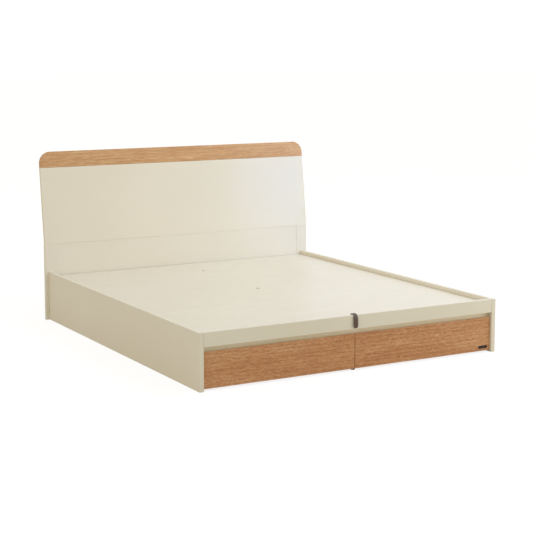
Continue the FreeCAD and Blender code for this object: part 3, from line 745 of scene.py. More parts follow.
def spokes(axis: Vector, count: int) -> list[Vector]:
    """Unit vectors round an axis, at even angles."""
    side = axis.orthogonal().normalized()
    return [side * math.cos(turn) + axis.cross(side) * math.sin(turn) for turn in angles(count)]


def turned(name: str, profile: Profile, start: Vector, along: Vector, count: int = 32) -> Piece:
    """A turned piece.

    Args:
        name: The piece's name.
        profile: Distance along the axis and radius of each corner, from the axis and back to it.
        start: Where the axis starts.
        along: Direction of the axis.
        count: Faces round the axis.

    Returns:
        The piece.
    """
    axis = along.normalized()
    around = spokes(axis, count)
    return skinned(name, [[start + axis * place + spoke * radius
                           for spoke in (around if radius else around[:1])] for place, radius in profile])


def pinned(profile: Profile, side: int, tip: float, centre: Vector) -> Piece:
    """A piece turned about X on one side of the bed, from its tip towards the side panel."""
    return turned("pin", profile, Vector((side * tip, centre.y, centre.z)), RIGHT * side, ROUND_COUNT)


def shifted(profile: Profile, by: float) -> list[Pair]:
    """A profile moved along its axis."""
    return [(place + by, radius) for place, radius in profile]


class Recess(Enum):
    """The drive in a screw's head."""

    CROSS = "cross"
    HEXAGON = "hexagon"


@dataclass(frozen=True)
class Head:
    """The head of a screw or bolt, with the drive cut into its dome."""

    radius: float
    height: float
    recess: Recess = Recess.CROSS
    recess_share: float = 0.55
    arm_share: float = 0.28
    floor_share: float = 0.4
    dome: Profile = ((0.0, 1.0), (0.45, 1.0), (0.85, 0.86))
    top_share: float = 0.62
    taper: float = 0.9
    count: int = 48

    def drive(self, angle: float) -> float:
        """Draws the outline of the drive.

        Args:
            angle: An angle round the head.

        Returns:
            The outline's radius there.
        """
        reach = self.radius * self.recess_share
        if self.recess is Recess.HEXAGON:
            sector = math.pi / 3
            return reach * math.cos(sector / 2) / math.cos((angle % sector) - sector / 2)
        away = abs((angle + math.pi / 4) % (math.pi / 2) - math.pi / 4)
        return min(reach, reach * self.arm_share / max(TINY, math.sin(away)))

    def build(self, seat: Vector, out: Vector) -> Piece:
        """Builds the head.

        Args:
            seat: Centre of the face that the head lies on.
            out: The way the head stands out.

        Returns:
            The piece.
        """
        around = spokes(out, self.count)
        drive = [self.drive(angle) for angle in angles(self.count)]
        rows = [(share, [self.radius * width] * self.count) for share, width in self.dome]
        rows += [(1.0, [max(self.radius * self.top_share, reach) for reach in drive]), (1.0, drive),
                 (self.floor_share, [reach * self.taper for reach in drive])]
        return skinned("head", [[seat + out * self.height * share + spoke * radius
                                 for spoke, radius in zip(around, radii)] for share, radii in rows])


PLATE_SCREW = Head(0.0042, 0.0022)
BOARD_SCREW = Head(0.0045, 0.0025)
FRAME_BOLT = Head(0.008, 0.004, Recess.HEXAGON)


@dataclass
class Assembly:
    """A sub-assembly, whose pieces are fitted with the materials that it is given."""

    materials: dict[Finish, Material]

    def fit(self, piece: Piece, body: str, finish: Finish, *nodes: str) -> None:
        """Gives a piece its finish and its body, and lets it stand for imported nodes.

        Args:
            piece: The new piece, in place.
            body: The body that it rides on.
            finish: Its finish.
            *nodes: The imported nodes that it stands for.
        """
        piece.data.materials.clear()
        piece.data.materials.append(self.materials[finish])
        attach(piece, body)
        if nodes:
            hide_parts(*nodes)
        log.info("%s rides on %s in %s", piece.name, body, finish.name.lower())

    def fit_joined(self, name: str, solids: Sequence[Piece], body: str, finish: Finish, *nodes: str,
                   sharp: float = SHARP) -> None:
        """Joins like solids into one piece, and fits it."""
        self.fit(joined(name, solids, sharp), body, finish, *nodes)

    def fit_sawn(self, node: str, finish: Finish, thin: Axis, loops: Loops, ease: float,
                 body: str = "base") -> None:
        """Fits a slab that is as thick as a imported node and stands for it."""
        low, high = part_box(node)
        self.fit(sawn(f"{node}_{finish.word}", thin, loops, low[thin], high[thin], ease), body, finish, node)

    def fit_board(self, node: str, finish: Finish, ease: float, body: str = "base",
                  low_by: Sequence[float] = STAY, high_by: Sequence[float] = STAY) -> None:
        """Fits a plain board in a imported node's place, with its corners moved."""
        low, high = (corner + Vector(by) for corner, by in zip(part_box(node), (low_by, high_by)))
        self.fit(board(f"{node}_{finish.word}", low, high, ease), body, finish, node)

    def fit_row(self, node: str, finish: Finish, width: float, ease: float, shares: Sequence[float],
                body: str = "base") -> None:
        """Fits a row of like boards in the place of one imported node.

        Args:
            node, finish, ease, body: As for one board.
            width: Width of each board along X.
            shares: Places of the boards.
        """
        low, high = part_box(node)
        solids = []
        for share in shares:
            near = low + RIGHT * share * (high.x - width - low.x)
            solids.append(board("board", near, Vector((near.x + width, high.y, high.z)), ease))
        self.fit_joined(f"{node}_{finish.word}", solids, body, finish, node)

    def fit_heads(self, name: str, head: Head, seats: Sequence[tuple[Sequence[float], Vector]], body: str,
                  *nodes: str) -> None:
        """Fits the heads of screws or bolts, with the seat and the way out of each."""
        heads = [head.build(Vector(seat), out) for seat, out in seats]
        self.fit_joined(name, heads, body, Finish.ZINC, *nodes, sharp=HEAD_SHARP)


@dataclass
class Carcass(Assembly):
    """The standing base: side panels, foot rail, inner boards, battens, floor and feet."""

    ease: float = 0.0014
    joint_gap: float = 0.0006
    strip_forward: float = 0.006
    batten: Pair = (0.025, 0.002)
    floor_batten: Pair = (0.022, 0.0015)
    foot_sole: Profile = ((0.0, 0.0), (0.0, 0.0095), (0.0008, 0.0112), (0.0025, 0.012))
    foot_collar: Profile = ((-0.002, 0.012), (-0.002, 0.0105), (0.0, 0.0105), (0.0, 0.0))
    foot_inset: float = 0.014
    front_foot_inset: float = 0.003
    boards: tuple[str, ...] = (
        "side_panel_left", "side_panel_right", "foot_rail", "rail_spacer_board", "grip_backing_rail",
        "drawer_partition", "drawer_bay_top", "head_cross_panel", "storage_floor_left",
        "storage_floor_right",
    )

    def build(self) -> None:
        """Builds every part of the base."""
        moves = {"foot_rail": ((self.joint_gap, 0, 0), (-self.joint_gap, 0, 0)),
                 "grip_backing_rail": ((0, -self.strip_forward, 0), STAY)}
        for node in self.boards:
            # The grip strip takes the paler copy of the lacquer, painted light for its recess.
            finish = Finish.CREAM_GAP if node == "grip_backing_rail" else Finish.CREAM
            self.fit_board(node, finish, self.ease, "base", *moves.get(node, ()))
        self.build_cross_panel()
        self.fit_row("platform_battens", Finish.PINE, *self.batten, AT_SIDES)
        self.fit_row("floor_battens", Finish.PINE, *self.floor_batten, AT_SIDES_AND_MIDDLE)
        self.build_feet()

    def build_cross_panel(self) -> None:
        """Builds the panel behind the drawers, notched for the side battens."""
        low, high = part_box("storage_cross_panel")
        notch_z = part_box("platform_battens")[0].z
        notch_x = high.x - self.batten[0]
        loop = [(low.x, low.z), (high.x, low.z), (high.x, notch_z), (notch_x, notch_z),
                (notch_x, high.z), (-notch_x, high.z), (-notch_x, notch_z), (low.x, notch_z)]
        self.fit_sawn("storage_cross_panel", Finish.CREAM, Axis.Y, [loop], self.ease)

    def build_feet(self) -> None:
        """Builds the round feet under the inner boards."""
        split_low, split_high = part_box("drawer_partition")
        front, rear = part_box("storage_cross_panel"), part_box("head_cross_panel")
        rows = [(pair[0].y + pair[1].y) / 2 for pair in (front, rear)]
        middle = (split_low.y + self.front_foot_inset, split_high.y - self.foot_inset,
                  (front[1].y + rear[0].y) / 2)
        places = [(0.0, y) for y in middle]
        places += [(side * front[1].x / 2, y) for _, side in SIDES for y in rows]
        profile = [*self.foot_sole, *shifted(self.foot_collar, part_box("glide_feet")[1].z)]
        feet = [turned("foot", profile, Vector((x, y, 0)), UP) for x, y in places]
        self.fit_joined("glide_feet_moulded", feet, "base", Finish.PLASTIC, "glide_feet", sharp=ROUND_SHARP)


@dataclass
class Headboard(Assembly):
    """The headboard: stiles, middle panel, tilted upper panel, oak band and braces."""

    ease: float = 0.0014
    seam_ease: float = 0.0010
    seam_gap: float = 0.0003
    middle_reach: float = 0.0014
    band_ease: float = 0.003
    band_rounds: int = 3
    band_width: float = 0.100
    upper_thickness: float = 0.020
    corner_radius: float = 0.072
    corner_steps: int = 16

    def build(self) -> None:
        """Builds every board of the headboard."""
        # The stiles and the middle panel take the paler copy of the lacquer, painted light.
        for name, _ in SIDES:
            self.fit_board(f"headboard_stile_{name}", Finish.CREAM_PALE, self.seam_ease)
        self.fit_board("headboard_middle_panel", Finish.CREAM_PALE, self.seam_ease, "base",
                       (self.seam_gap, -self.middle_reach, 0), (-self.seam_gap, 0, 0))
        self.build_upper()
        for name, _ in SIDES:
            self.build_brace(f"headboard_brace_{name}")

    def slope(self) -> tuple[Vector, float, float]:
        """Foot of the tilted front face, the tilt, and the slope's whole length.

        Returns:
            The foot on the middle line, the angle from upright, and the length.
        """
        stile_low, stile_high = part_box("headboard_stile_left")
        foot = Vector((0, stile_low.y, stile_high.z))
        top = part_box("headboard_top_band")[1]
        rise, run = top.z - foot.z, top.y - foot.y
        tilt = math.atan2(run, rise) - math.asin(self.upper_thickness / math.hypot(run, rise))
        return foot, tilt, rise / math.cos(tilt)

    def build_upper(self) -> None:
        """Builds the tilted panel, mitred at its foot, and the oak band on top of it."""
        foot, tilt, length = self.slope()
        thickness, radius = self.upper_thickness, self.corner_radius
        up = Vector((0, math.sin(tilt), math.cos(tilt)))
        rearwards = Vector((0, math.cos(tilt), -math.sin(tilt)))
        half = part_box("headboard_top_band")[1].x
        start = length - self.band_width
        mitred = [(0.0, 0.0), (start, 0.0), (start, thickness), (thickness * math.tan(tilt), thickness)]
        panel = slab("headboard_upper_panel_lacquered", [mitred], 2 * half, foot + RIGHT * half, up,
                     rearwards, self.seam_ease)
        self.fit(panel, "base", Finish.CREAM, "headboard_upper_panel")
        outline = [(-half, start), (half, start)]
        for turn, x in enumerate((half - radius, radius - half)):
            outline += arc((x, length - radius), radius, QUARTER * turn, QUARTER, self.corner_steps)
        band = slab("headboard_top_band_oak", [outline], thickness, foot + rearwards * thickness, RIGHT, up,
                    self.band_ease, self.band_rounds)
        self.fit(band, "base", Finish.OAK_BAND, "headboard_top_band")

    def build_brace(self, node: str) -> None:
        """Builds one wedge behind the headboard.

        Args:
            node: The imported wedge.
        """
        low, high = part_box(node)
        foot, tilt, _ = self.slope()
        rear_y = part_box("headboard_stile_left")[1].y
        upper_y = foot.y + self.upper_thickness / math.cos(tilt)
        leaned_y = upper_y + (high.z - foot.z) * math.tan(tilt)
        outline = [(rear_y, low.z), (high.y, low.z), (high.y, high.z), (leaned_y, high.z), (upper_y, foot.z),
                   (rear_y, foot.z)]
        self.fit_sawn(node, Finish.CREAM, Axis.X, [outline], self.ease)


@dataclass
class Platform(Assembly):
    """The lift-up platform: deck boards on a frame of steel tubes."""

    ease: float = 0.0008
    head_reach: float = 0.002
    hole_radius: float = 0.014
    hole_setbacks: Pair = (1.010, 0.299)
    notch_width: float = 0.040
    notch_depth: float = 0.014
    tube_width: float = 0.040
    tube_wall: float = 0.0015
    tube_corner: float = 0.004
    tube_steps: int = 4
    tube_ease: float = 0.0004
    cap_roundness: float = 1 / 3

    def build(self) -> None:
        """Builds the deck, with the strap's notch and the round holes, and the frame below it."""
        low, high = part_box("deck_board_foot")
        half, depth = self.notch_width / 2, low.y + self.notch_depth
        loop = [(low.x, low.y), (-half, low.y), (-half, depth), (half, depth),
                (half, low.y), (high.x, low.y), (high.x, high.y), (low.x, high.y)]
        # The deck boards take the lacquer copy with a painted highlight along their eased edges.
        self.fit_sawn("deck_board_foot", Finish.CREAM_DECK, Axis.Z, [loop], self.ease, "platform")
        low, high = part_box("deck_board_head")
        head_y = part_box("headboard_stile_left")[0].y
        holes = [circle((0, head_y - setback), self.hole_radius) for setback in self.hole_setbacks]
        loops = [rectangle((low.x, low.y), (high.x, high.y + self.head_reach)), *holes]
        # Same copy, with the painted highlight along the eased edges.
        self.fit_sawn("deck_board_head", Finish.CREAM_DECK, Axis.Z, loops, self.ease, "platform")
        self.build_frame(low.y)
        self.build_caps()

    def tube(self, low: Vector, high: Vector, along: Axis) -> Piece:
        """One square tube with rounded corners and open ends.

        Args:
            low: Its lowest corner.
            high: Its highest corner.
            along: The axis that it runs along.

        Returns:
            The tube.
        """
        across = Axis.X if along is Axis.Y else Axis.Y
        loops = [rectangle((low[across] + wall, low.z + wall), (high[across] - wall, high.z - wall),
                           self.tube_corner - wall, self.tube_steps) for wall in (0.0, self.tube_wall)]
        return sawn("tube", along, loops, low[along], high[along], self.tube_ease, 1)

    def fit_tubes(self, node: str, tubes: Sequence[Piece]) -> None:
        """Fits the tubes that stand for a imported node."""
        self.fit_joined(f"{node}_coated", tubes, "platform", Finish.STEEL, node)

    def build_frame(self, seam_y: float) -> None:
        """Builds the tubes: two long ones, the cross tubes, and the short ones between them.

        Args:
            seam_y: Where the deck boards meet.
        """
        for name, _ in SIDES:
            node = f"platform_side_tube_{name}"
            self.fit_tubes(node, [self.tube(*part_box(node), Axis.Y)])
        width = self.tube_width
        low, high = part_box("platform_cross_tubes")
        seam, rear = seam_y - width / 2, high.y - width
        places = (low.y, seam, (seam + rear) / 2, rear)
        self.fit_tubes("platform_cross_tubes", [
            self.tube(Vector((low.x, y, low.z)), Vector((high.x, y + width, high.z)), Axis.X)
            for y in places
        ])
        for name, _ in SIDES:
            low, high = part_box(f"platform_inner_tubes_{name}")
            self.fit_tubes(f"platform_inner_tubes_{name}", [
                self.tube(Vector((low.x, before + width, low.z)), Vector((high.x, after, high.z)), Axis.Y)
                for before, after in zip(places, places[1:])
            ])

    def build_caps(self) -> None:
        """Builds the moulded caps that close the ends of the long tubes."""
        low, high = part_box("tube_end_caps")
        caps = []
        for name, _ in SIDES:
            tube_low, tube_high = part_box(f"platform_side_tube_{name}")
            loop = rectangle((tube_low.x, low.z), (tube_high.x, high.z), self.tube_corner, self.tube_steps)
            thickness = tube_low.y - low.y
            for rear_y in (tube_low.y, high.y):
                caps.append(sawn("cap", Axis.Y, [loop], rear_y - thickness, rear_y,
                                 thickness * self.cap_roundness))
        self.fit_joined("tube_end_caps_moulded", caps, "platform", Finish.PLASTIC, "tube_end_caps")


@dataclass
class PullStrap(Assembly):
    """The leather strap over the foot rail, with its stitched edges and clamp."""

    bend: float = 0.008
    front_setback: float = 0.013
    lift: float = -0.0017
    drop: float = 0.030
    aside: float = 0.003
    skew: float = 0.007
    trim: float = 0.0020
    end_lift: float = 0.004
    riser_setback: float = 0.006
    thickness: float = 0.005
    edge_radius: float = 0.0016
    edge_steps: int = 4
    end_radius: float = 0.008
    spans: int = 10
    longest_span: float = 0.002
    sharp: float = 50.0
    stitch_start: float = 0.02
    stitch_stop: float = 0.0064
    stitch_inset: float = 0.0032
    stitch_length: float = 0.0034
    stitch_gap: float = 0.0020
    stitch_end: Profile = ((0.0, 0.0), (0.00018, 0.00036), (0.00054, 0.00045))
    stitch_count: int = 8
    stitch_sharp: float = 60.0
    plate_corner: float = 0.003
    plate_steps: int = 5
    plate_ease: float = 0.0004

    def path(self) -> list[Vector]:
        """The strap's middle line.

        Returns:
            Its points, from the tail below the deck to the hanging end, at short distances.
        """
        low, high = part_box("pull_strap")
        rail_low, rail_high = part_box("foot_rail")
        deck_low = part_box("deck_board_foot")[0]
        half = self.thickness / 2
        tail_z, top_z = deck_low.z - half, high.z - half + self.lift
        rear_y, hang_y = deck_low.y + self.riser_setback, low.y + half
        points = [
            Vector((0, high.y, tail_z)),
            *self.quarter(rear_y, tail_z, -REAR * self.bend, UP * self.bend),
            *self.quarter(rear_y, top_z, UP * self.bend, -REAR * self.bend),
            *self.quarter(hang_y, top_z, -REAR * (rail_low.y + self.front_setback - hang_y),
                          -UP * (top_z - rail_high.z + self.drop)),
            Vector((0, hang_y, low.z + self.end_lift)),
        ]
        reach = max(point.y for point in points) - hang_y
        for point in points:
            point.x -= self.aside + self.skew * (1 - (point.y - hang_y) / reach)
        spread = points[:1]
        for near, far in zip(points, points[1:]):
            count = max(1, math.ceil((far - near).length / self.longest_span))
            spread += [near.lerp(far, step / count) for step in range(1, count + 1)]
        return spread

    def quarter(self, y: float, z: float, arriving: Vector, leaving: Vector) -> list[Vector]:
        """Points of a quarter of an oval that rounds a corner, from an arriving to a leaving run."""
        turns = [math.radians(QUARTER * step / self.spans) for step in range(self.spans + 1)]
        return [Vector((0, y, z)) - arriving * (1 - math.sin(turn)) + leaving * (1 - math.cos(turn))
                for turn in turns]

    def width_at(self, left: float, width: float) -> float:
        """The strap's width at a distance from its hanging end, which is rounded."""
        radius, away = self.end_radius, max(0.0, self.end_radius - left)
        return width - 2 * (radius - math.sqrt(radius * radius - away * away))

    def build(self) -> None:
        """Builds the strap, its stitches and its plate."""
        low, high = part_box("pull_strap")
        width, half = high.x - low.x - self.trim, self.thickness / 2
        points = self.path()
        lengths = [0.0]
        for near, far in zip(points, points[1:]):
            lengths.append(lengths[-1] + (far - near).length)
        rings = []
        neighbours = zip(points, points[:1] + points, points[1:] + points[-1:], lengths)
        for point, before, after, length in neighbours:
            out = RIGHT.cross((after - before).normalized())
            reach = self.width_at(lengths[-1] - length, width) / 2
            outline = rectangle((-reach, -half), (reach, half), self.edge_radius, self.edge_steps)
            rings.append([point + RIGHT * x + out * y for x, y in outline])
        strap = skinned("pull_strap_leather", rings, self.sharp)
        self.fit(strap, "platform", Finish.LEATHER, "pull_strap")
        stitches = []
        place = self.stitch_start
        while place + self.stitch_length < lengths[-1] - self.stitch_stop:
            near, out = self.along(points, lengths, place)
            far, _ = self.along(points, lengths, place + self.stitch_length)
            for _, side in SIDES:
                shift = RIGHT * side * (width / 2 - self.stitch_inset) + out * half
                stitches.append(self.stitch(near + shift, far + shift))
            place += self.stitch_length + self.stitch_gap
        self.fit_joined("pull_strap_stitches", stitches, "platform", Finish.THREAD, sharp=self.stitch_sharp)
        low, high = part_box("strap_plate")
        outline = rectangle((low.x, low.y), (high.x, high.y), self.plate_corner, self.plate_steps)
        self.fit_sawn("strap_plate", Finish.ZINC, Axis.Z, [outline], self.plate_ease, "platform")

    @staticmethod
    def along(points: list[Vector], lengths: list[float], place: float) -> tuple[Vector, Vector]:
        """Follows the strap's middle line.

        Args:
            points: The line's points.
            lengths: How far along it each of them lies.
            place: How far along it the wanted point lies.

        Returns:
            The wanted point, and the way out of the strap's outer face there.
        """
        index = max(i for i, length in enumerate(lengths[:-1]) if length <= place)
        near, far = points[index], points[index + 1]
        share = (place - lengths[index]) / (lengths[index + 1] - lengths[index])
        return near.lerp(far, share), (far - near).normalized().cross(RIGHT)

    def stitch(self, near: Vector, far: Vector) -> Piece:
        """One stitch, a short bead of thread."""
        mirrored = [((far - near).length - place, radius) for place, radius in reversed(self.stitch_end)]
        return turned("stitch", [*self.stitch_end, *mirrored], near, far - near, self.stitch_count)


@dataclass
class Hinges(Assembly):
    """The lift hinges: bored ears on the platform, and brackets with pins on the side panels."""

    corner: float = 0.006
    ease: float = 0.0005
    pin_nose: Profile = ((0.0, 0.0), (0.0, 0.005), (0.001, 0.006))
    bore_radius: float = 0.00605
    pin_rear: float = 0.008
    pin_below_top: float = 0.010
    screw_rise: float = 0.007
    screw_insets: Pair = (0.011, 0.010)

    def build(self) -> None:
        """Builds the ears and the brackets."""
        low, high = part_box("hinge_ears")
        bracket_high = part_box("hinge_bracket_right")[1]
        axis = Vector((0, bracket_high.y - self.pin_rear, bracket_high.z - self.pin_below_top))
        tube_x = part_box("platform_side_tube_right")[1].x
        loops = [rectangle(low.yz, high.yz, self.corner), circle(axis.yz, self.bore_radius, ROUND_COUNT)]
        ears = [walled(loops, side, tube_x, high.x, self.ease) for _, side in SIDES]
        self.fit_joined("hinge_ears_coated", ears, "platform", Finish.STEEL, "hinge_ears")
        face = high.x + self.ease
        for name, side in SIDES:
            node = f"hinge_bracket_{name}"
            low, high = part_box(node)
            tip, wall = sorted((abs(low.x), abs(high.x)))
            plate = walled([rectangle(low.yz, high.yz, self.corner)], side, face, wall, self.ease)
            profile = [*self.pin_nose, (wall - tip, self.pin_nose[-1][1]), (wall - tip, 0)]
            solids = [plate, pinned(profile, side, tip, axis)]
            self.fit_joined(f"{node}_coated", solids, "base", Finish.STEEL, node)
            places = (low.y + self.screw_insets[0], high.y - self.screw_insets[1])
            seats = [((side * face, y, low.z + self.screw_rise), -RIGHT * side) for y in places]
            self.fit_heads(f"hinge_screws_{name}", PLATE_SCREW, seats, "base")


@dataclass
class GasStruts(Assembly):
    """The gas struts with their barrels, rods, eyes, anchors and ears."""

    barrel_foot: Profile = ((0.0075, 0.0), (0.0075, 0.0055), (0.0105, 0.0085), (0.0125, 0.010))
    barrel_groove: Profile = ((-0.0015, 0.010), (-0.0005, 0.0093), (0.0015, 0.0093), (0.0025, 0.010))
    barrel_lip: Profile = ((-0.003, 0.010), (-0.001, 0.009), (0.0, 0.0072), (0.0, 0.0052),
                           (-0.001, 0.0046), (-0.004, 0.0046), (-0.004, 0.0))
    groove_setback: float = 0.018
    rod_foot: Profile = ((0.010, 0.0), (0.010, 0.004))
    rod_tip: Profile = ((-0.001, 0.004), (0.0, 0.0032), (0.0, 0.0))
    nut: Profile = ((0.013, 0.0), (0.013, 0.005808), (0.0138, 0.0066), (0.021, 0.0066),
                    (0.0218, 0.005808), (0.0218, 0.0))
    nut_sides: int = 6
    low_eye: Pair = (0.009, 0.00404)
    high_eye: Pair = (0.014, 0.009)
    eye_width: float = 0.012
    eye_ease: float = 0.0008
    rod_showing: float = 0.095
    rod_room: float = 0.073
    ear_corner: float = 0.010
    ear_steps: int = 8
    ear_half: float = 0.015
    ear_reach: float = 0.006
    pin_radius: float = 0.004
    head_thickness: float = 0.003
    head_shape: Profile = ((0.0, 0.0), (0.0, 0.7), (0.35, 0.92), (0.6, 1.0), (1.0, 1.0))
    low_head_radius: float = 0.0065
    high_head_radius: float = 0.011
    boss_tip: Profile = ((0.0, 0.0), (0.0, 0.0062), (0.0008, 0.007))
    boss_root: Profile = ((-0.003, 0.007), (-0.001, 0.0078), (0.0, 0.010), (0.0, 0.0))
    side_play: float = 0.001
    anchor_plate: float = 0.004
    anchor_corner: float = 0.006
    screw_inset: float = 0.009
    ease: float = 0.0005

    def build(self) -> None:
        """Builds both struts, their anchors and the ears above them."""
        low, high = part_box("strut_cylinder_right")
        rod_low, rod_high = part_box("strut_rod_right")
        x, low_radius, high_radius = (low.x + high.x) / 2, self.low_eye[0], self.high_eye[0]
        upper = Vector((x, rod_low.y + high_radius, rod_high.z - high_radius))
        for name, side in SIDES:
            pivot = Vector((side * x, high.y - low_radius, low.z + low_radius))
            self.build_strut(name, pivot, Vector((side * x, upper.y, upper.z)))
            self.build_anchor(name, side, pivot)
        self.build_ears(upper)

    def eye(self, name: str, centre: Vector, radius: float, bore: float) -> Piece:
        """An eye with its bore along X."""
        loops, half = [circle(centre.yz, radius), circle(centre.yz, bore)], self.eye_width / 2
        return sawn(name, Axis.X, loops, centre.x - half, centre.x + half, self.eye_ease)

    def build_strut(self, name: str, low: Vector, high: Vector) -> None:
        """Builds one strut: a painted barrel with its lower eye, and a rod with its nut and upper eye.

        Args:
            name: Which side of the bed it is on.
            low: Its lower pivot.
            high: Its upper pivot.
        """
        cylinder, rod = f"strut_cylinder_{name}", f"strut_rod_{name}"
        up, whole = (high - low).normalized(), (high - low).length
        end = whole - self.rod_showing
        profile = [*self.barrel_foot, *shifted(self.barrel_groove, end - self.groove_setback),
                   *shifted(self.barrel_lip, end)]
        barrel = turned(f"strut_barrel_{name}_painted", profile, low, up, ROUND_COUNT)
        self.fit(barrel, cylinder, Finish.BARREL, cylinder)
        self.fit(self.eye(f"strut_lower_eye_{name}", low, *self.low_eye), cylinder, Finish.ZINC)
        profile = [*self.rod_foot, *shifted(self.rod_tip, whole - self.rod_room)]
        self.fit(turned(f"strut_rod_{name}_ground", profile, high, -up, ROUND_COUNT), rod, Finish.ROD, rod)
        solids = [self.eye("eye", high, *self.high_eye), turned("nut", self.nut, high, -up, self.nut_sides)]
        self.fit_joined(f"strut_upper_eye_{name}", solids, rod, Finish.ZINC)

    def headed_pin(self, side: int, tip: float, root: float, centre: Vector, radius: float) -> Piece:
        """A pin along X with a domed head at its inner end.

        Args:
            side: Which side of the bed it is on, as -1 or 1.
            tip, root: Distance of its head and of its root from the middle line.
            centre: A point of its axis.
            radius: Radius of the head.

        Returns:
            The pin.
        """
        profile = [(self.head_thickness * place, radius * share) for place, share in self.head_shape]
        profile += [(self.head_thickness, self.pin_radius), (root - tip, self.pin_radius), (root - tip, 0)]
        return pinned(profile, side, tip, centre)

    def build_anchor(self, name: str, side: int, pivot: Vector) -> None:
        """Builds one lower anchor: plate, boss, pin and screws.

        Args:
            name: Which side of the bed it is on.
            side: The same, as -1 or 1.
            pivot: The strut's lower pivot.
        """
        node = f"strut_anchor_{name}"
        low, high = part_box(node)
        tip, wall = sorted((abs(low.x), abs(high.x)))
        face, root = wall - self.anchor_plate, abs(pivot.x) + self.eye_width / 2 + self.side_play
        solids = [
            walled([rectangle(low.yz, high.yz, self.anchor_corner)], side, face, wall, self.ease),
            pinned([*self.boss_tip, *shifted(self.boss_root, face - root)], side, root, pivot),
            self.headed_pin(side, tip, root, pivot, self.low_head_radius),
        ]
        self.fit_joined(f"{node}_coated", solids, "base", Finish.STEEL, node, sharp=ROUND_SHARP)
        inset_by = self.screw_inset
        seats = [((side * face, y, z), -RIGHT * side) for y in (low.y + inset_by, high.y - inset_by)
                 for z in (low.z + inset_by, high.z - inset_by)]
        self.fit_heads(f"strut_anchor_screws_{name}", PLATE_SCREW, seats, "base")

    def build_ears(self, upper: Vector) -> None:
        """Builds the ears below the long tubes, with the pins of the struts' upper ends.

        Args:
            upper: Upper pivot of the right strut.
        """
        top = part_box("strut_ears")[1].z
        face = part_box("platform_side_tube_right")[0].x
        tip = upper.x - self.eye_width / 2 - self.side_play - self.head_thickness
        corner, half = self.ear_corner, self.ear_half
        outline = [(upper.y - half, top)]
        for start, towards in ((2 * QUARTER, -1), (3 * QUARTER, 1)):
            centre = (upper.y + towards * (half - corner), upper.z - half + corner)
            outline += arc(centre, corner, start, QUARTER, self.ear_steps)
        outline.append((upper.y + half, top))
        root = face - self.ear_reach
        ears = []
        for _, side in SIDES:
            ears.append(walled([outline], side, root, face, self.ease))
            ears.append(self.headed_pin(side, tip, root, upper, self.high_head_radius))
        self.fit_joined("strut_ears_coated", ears, "platform", Finish.STEEL, "strut_ears", sharp=ROUND_SHARP)


@dataclass
class Drawers(Assembly):
    """Both drawers: oak fronts bevelled behind their top edges, melamine boxes and the bare plate."""

    wall: float = 0.015
    grip_bevel: float = 0.012
    ease: float = 0.0012
    side_ease: float = 0.0008
    plate_drop: float = 0.003
    plate_corner: float = 0.0016
    plate_steps: int = 5
    plate_ease: float = 0.0003

    def build(self) -> None:
        """Builds both drawers."""
        for name, _ in SIDES:
            body, front = f"drawer_{name}", f"drawer_front_{name}"
            low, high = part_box(front)
            outline = [(low.y, low.z), (high.y, low.z), (high.y, high.z - self.grip_bevel),
                       (high.y - self.grip_bevel, high.z), (low.y, high.z)]
            # The oak fronts carry a painted highlight along their eased edges.
            self.fit_sawn(front, Finish.OAK, Axis.X, [outline], self.ease, body)
            self.fit_row(f"drawer_sides_{name}", Finish.DRAWER, self.wall, self.side_ease, AT_SIDES, body)
            for part in ("back", "bottom"):
                self.fit_board(f"drawer_{part}_{name}", Finish.DRAWER, self.side_ease, body)
        low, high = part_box("drawer_plate")
        outline = rectangle((low.x, low.z - self.plate_drop), high.xz, self.plate_corner, self.plate_steps)
        self.fit_sawn("drawer_plate", Finish.PLATE, Axis.Y, [outline], self.plate_ease, "drawer_right")


@dataclass
class Runners(Assembly):
    """The three-part drawer runners, folded from thin steel."""

    steel: float = 0.0012
    fold: float = 0.0010
    ease: float = 0.0002
    members: tuple[tuple[str, str, bool], ...] = (
        ("cabinet_runners", "base", False),
        ("middle_runners", "middle_runners_{}", False),
        ("drawer_runners", "drawer_{}", True),
    )

    def build(self) -> None:
        """Builds every member of the runners."""
        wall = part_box("drawer_partition")[1].x
        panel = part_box("side_panel_right")[0].x
        for name, side in SIDES:
            for member, body, web_is_far in self.members:
                node = f"{member}_{name}"
                low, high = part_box(node)
                reach = panel - max(abs(low.x), abs(high.x))
                places = [abs(vertex.co.x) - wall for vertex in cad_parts[node].data.vertices]
                depth = max(place for place in places if place < (panel - wall) / 2)
                solids = []
                for face, towards in ((side * wall, side), (side * panel, -side)):
                    near, far = face + towards * reach, face + towards * depth
                    web, lip = (far, near) if web_is_far else (near, far)
                    solids.append(self.channel(low, high, web, lip))
                self.fit_joined(f"{node}_folded", solids, body.format(name), Finish.ZINC, node)

    def channel(self, low: Vector, high: Vector, web: float, lip: float) -> Piece:
        """One folded channel along Y.

        Args:
            low: The lowest corner of its node, for its place along Y and Z.
            high: The highest corner of its node.
            web: X of the back of its web.
            lip: X of its lips.

        Returns:
            The channel.
        """
        towards = math.copysign(1.0, lip - web)
        inner, cut = web + towards * self.steel, web + towards * self.fold
        outline = [
            (lip, low.z), (cut, low.z), (web, low.z + self.fold), (web, high.z - self.fold), (cut, high.z),
            (lip, high.z), (lip, high.z - self.steel), (inner, high.z - self.steel),
            (inner, low.z + self.steel), (lip, low.z + self.steel),
        ]
        return sawn("channel", Axis.Y, [outline], low.y, high.y, self.ease, 1)


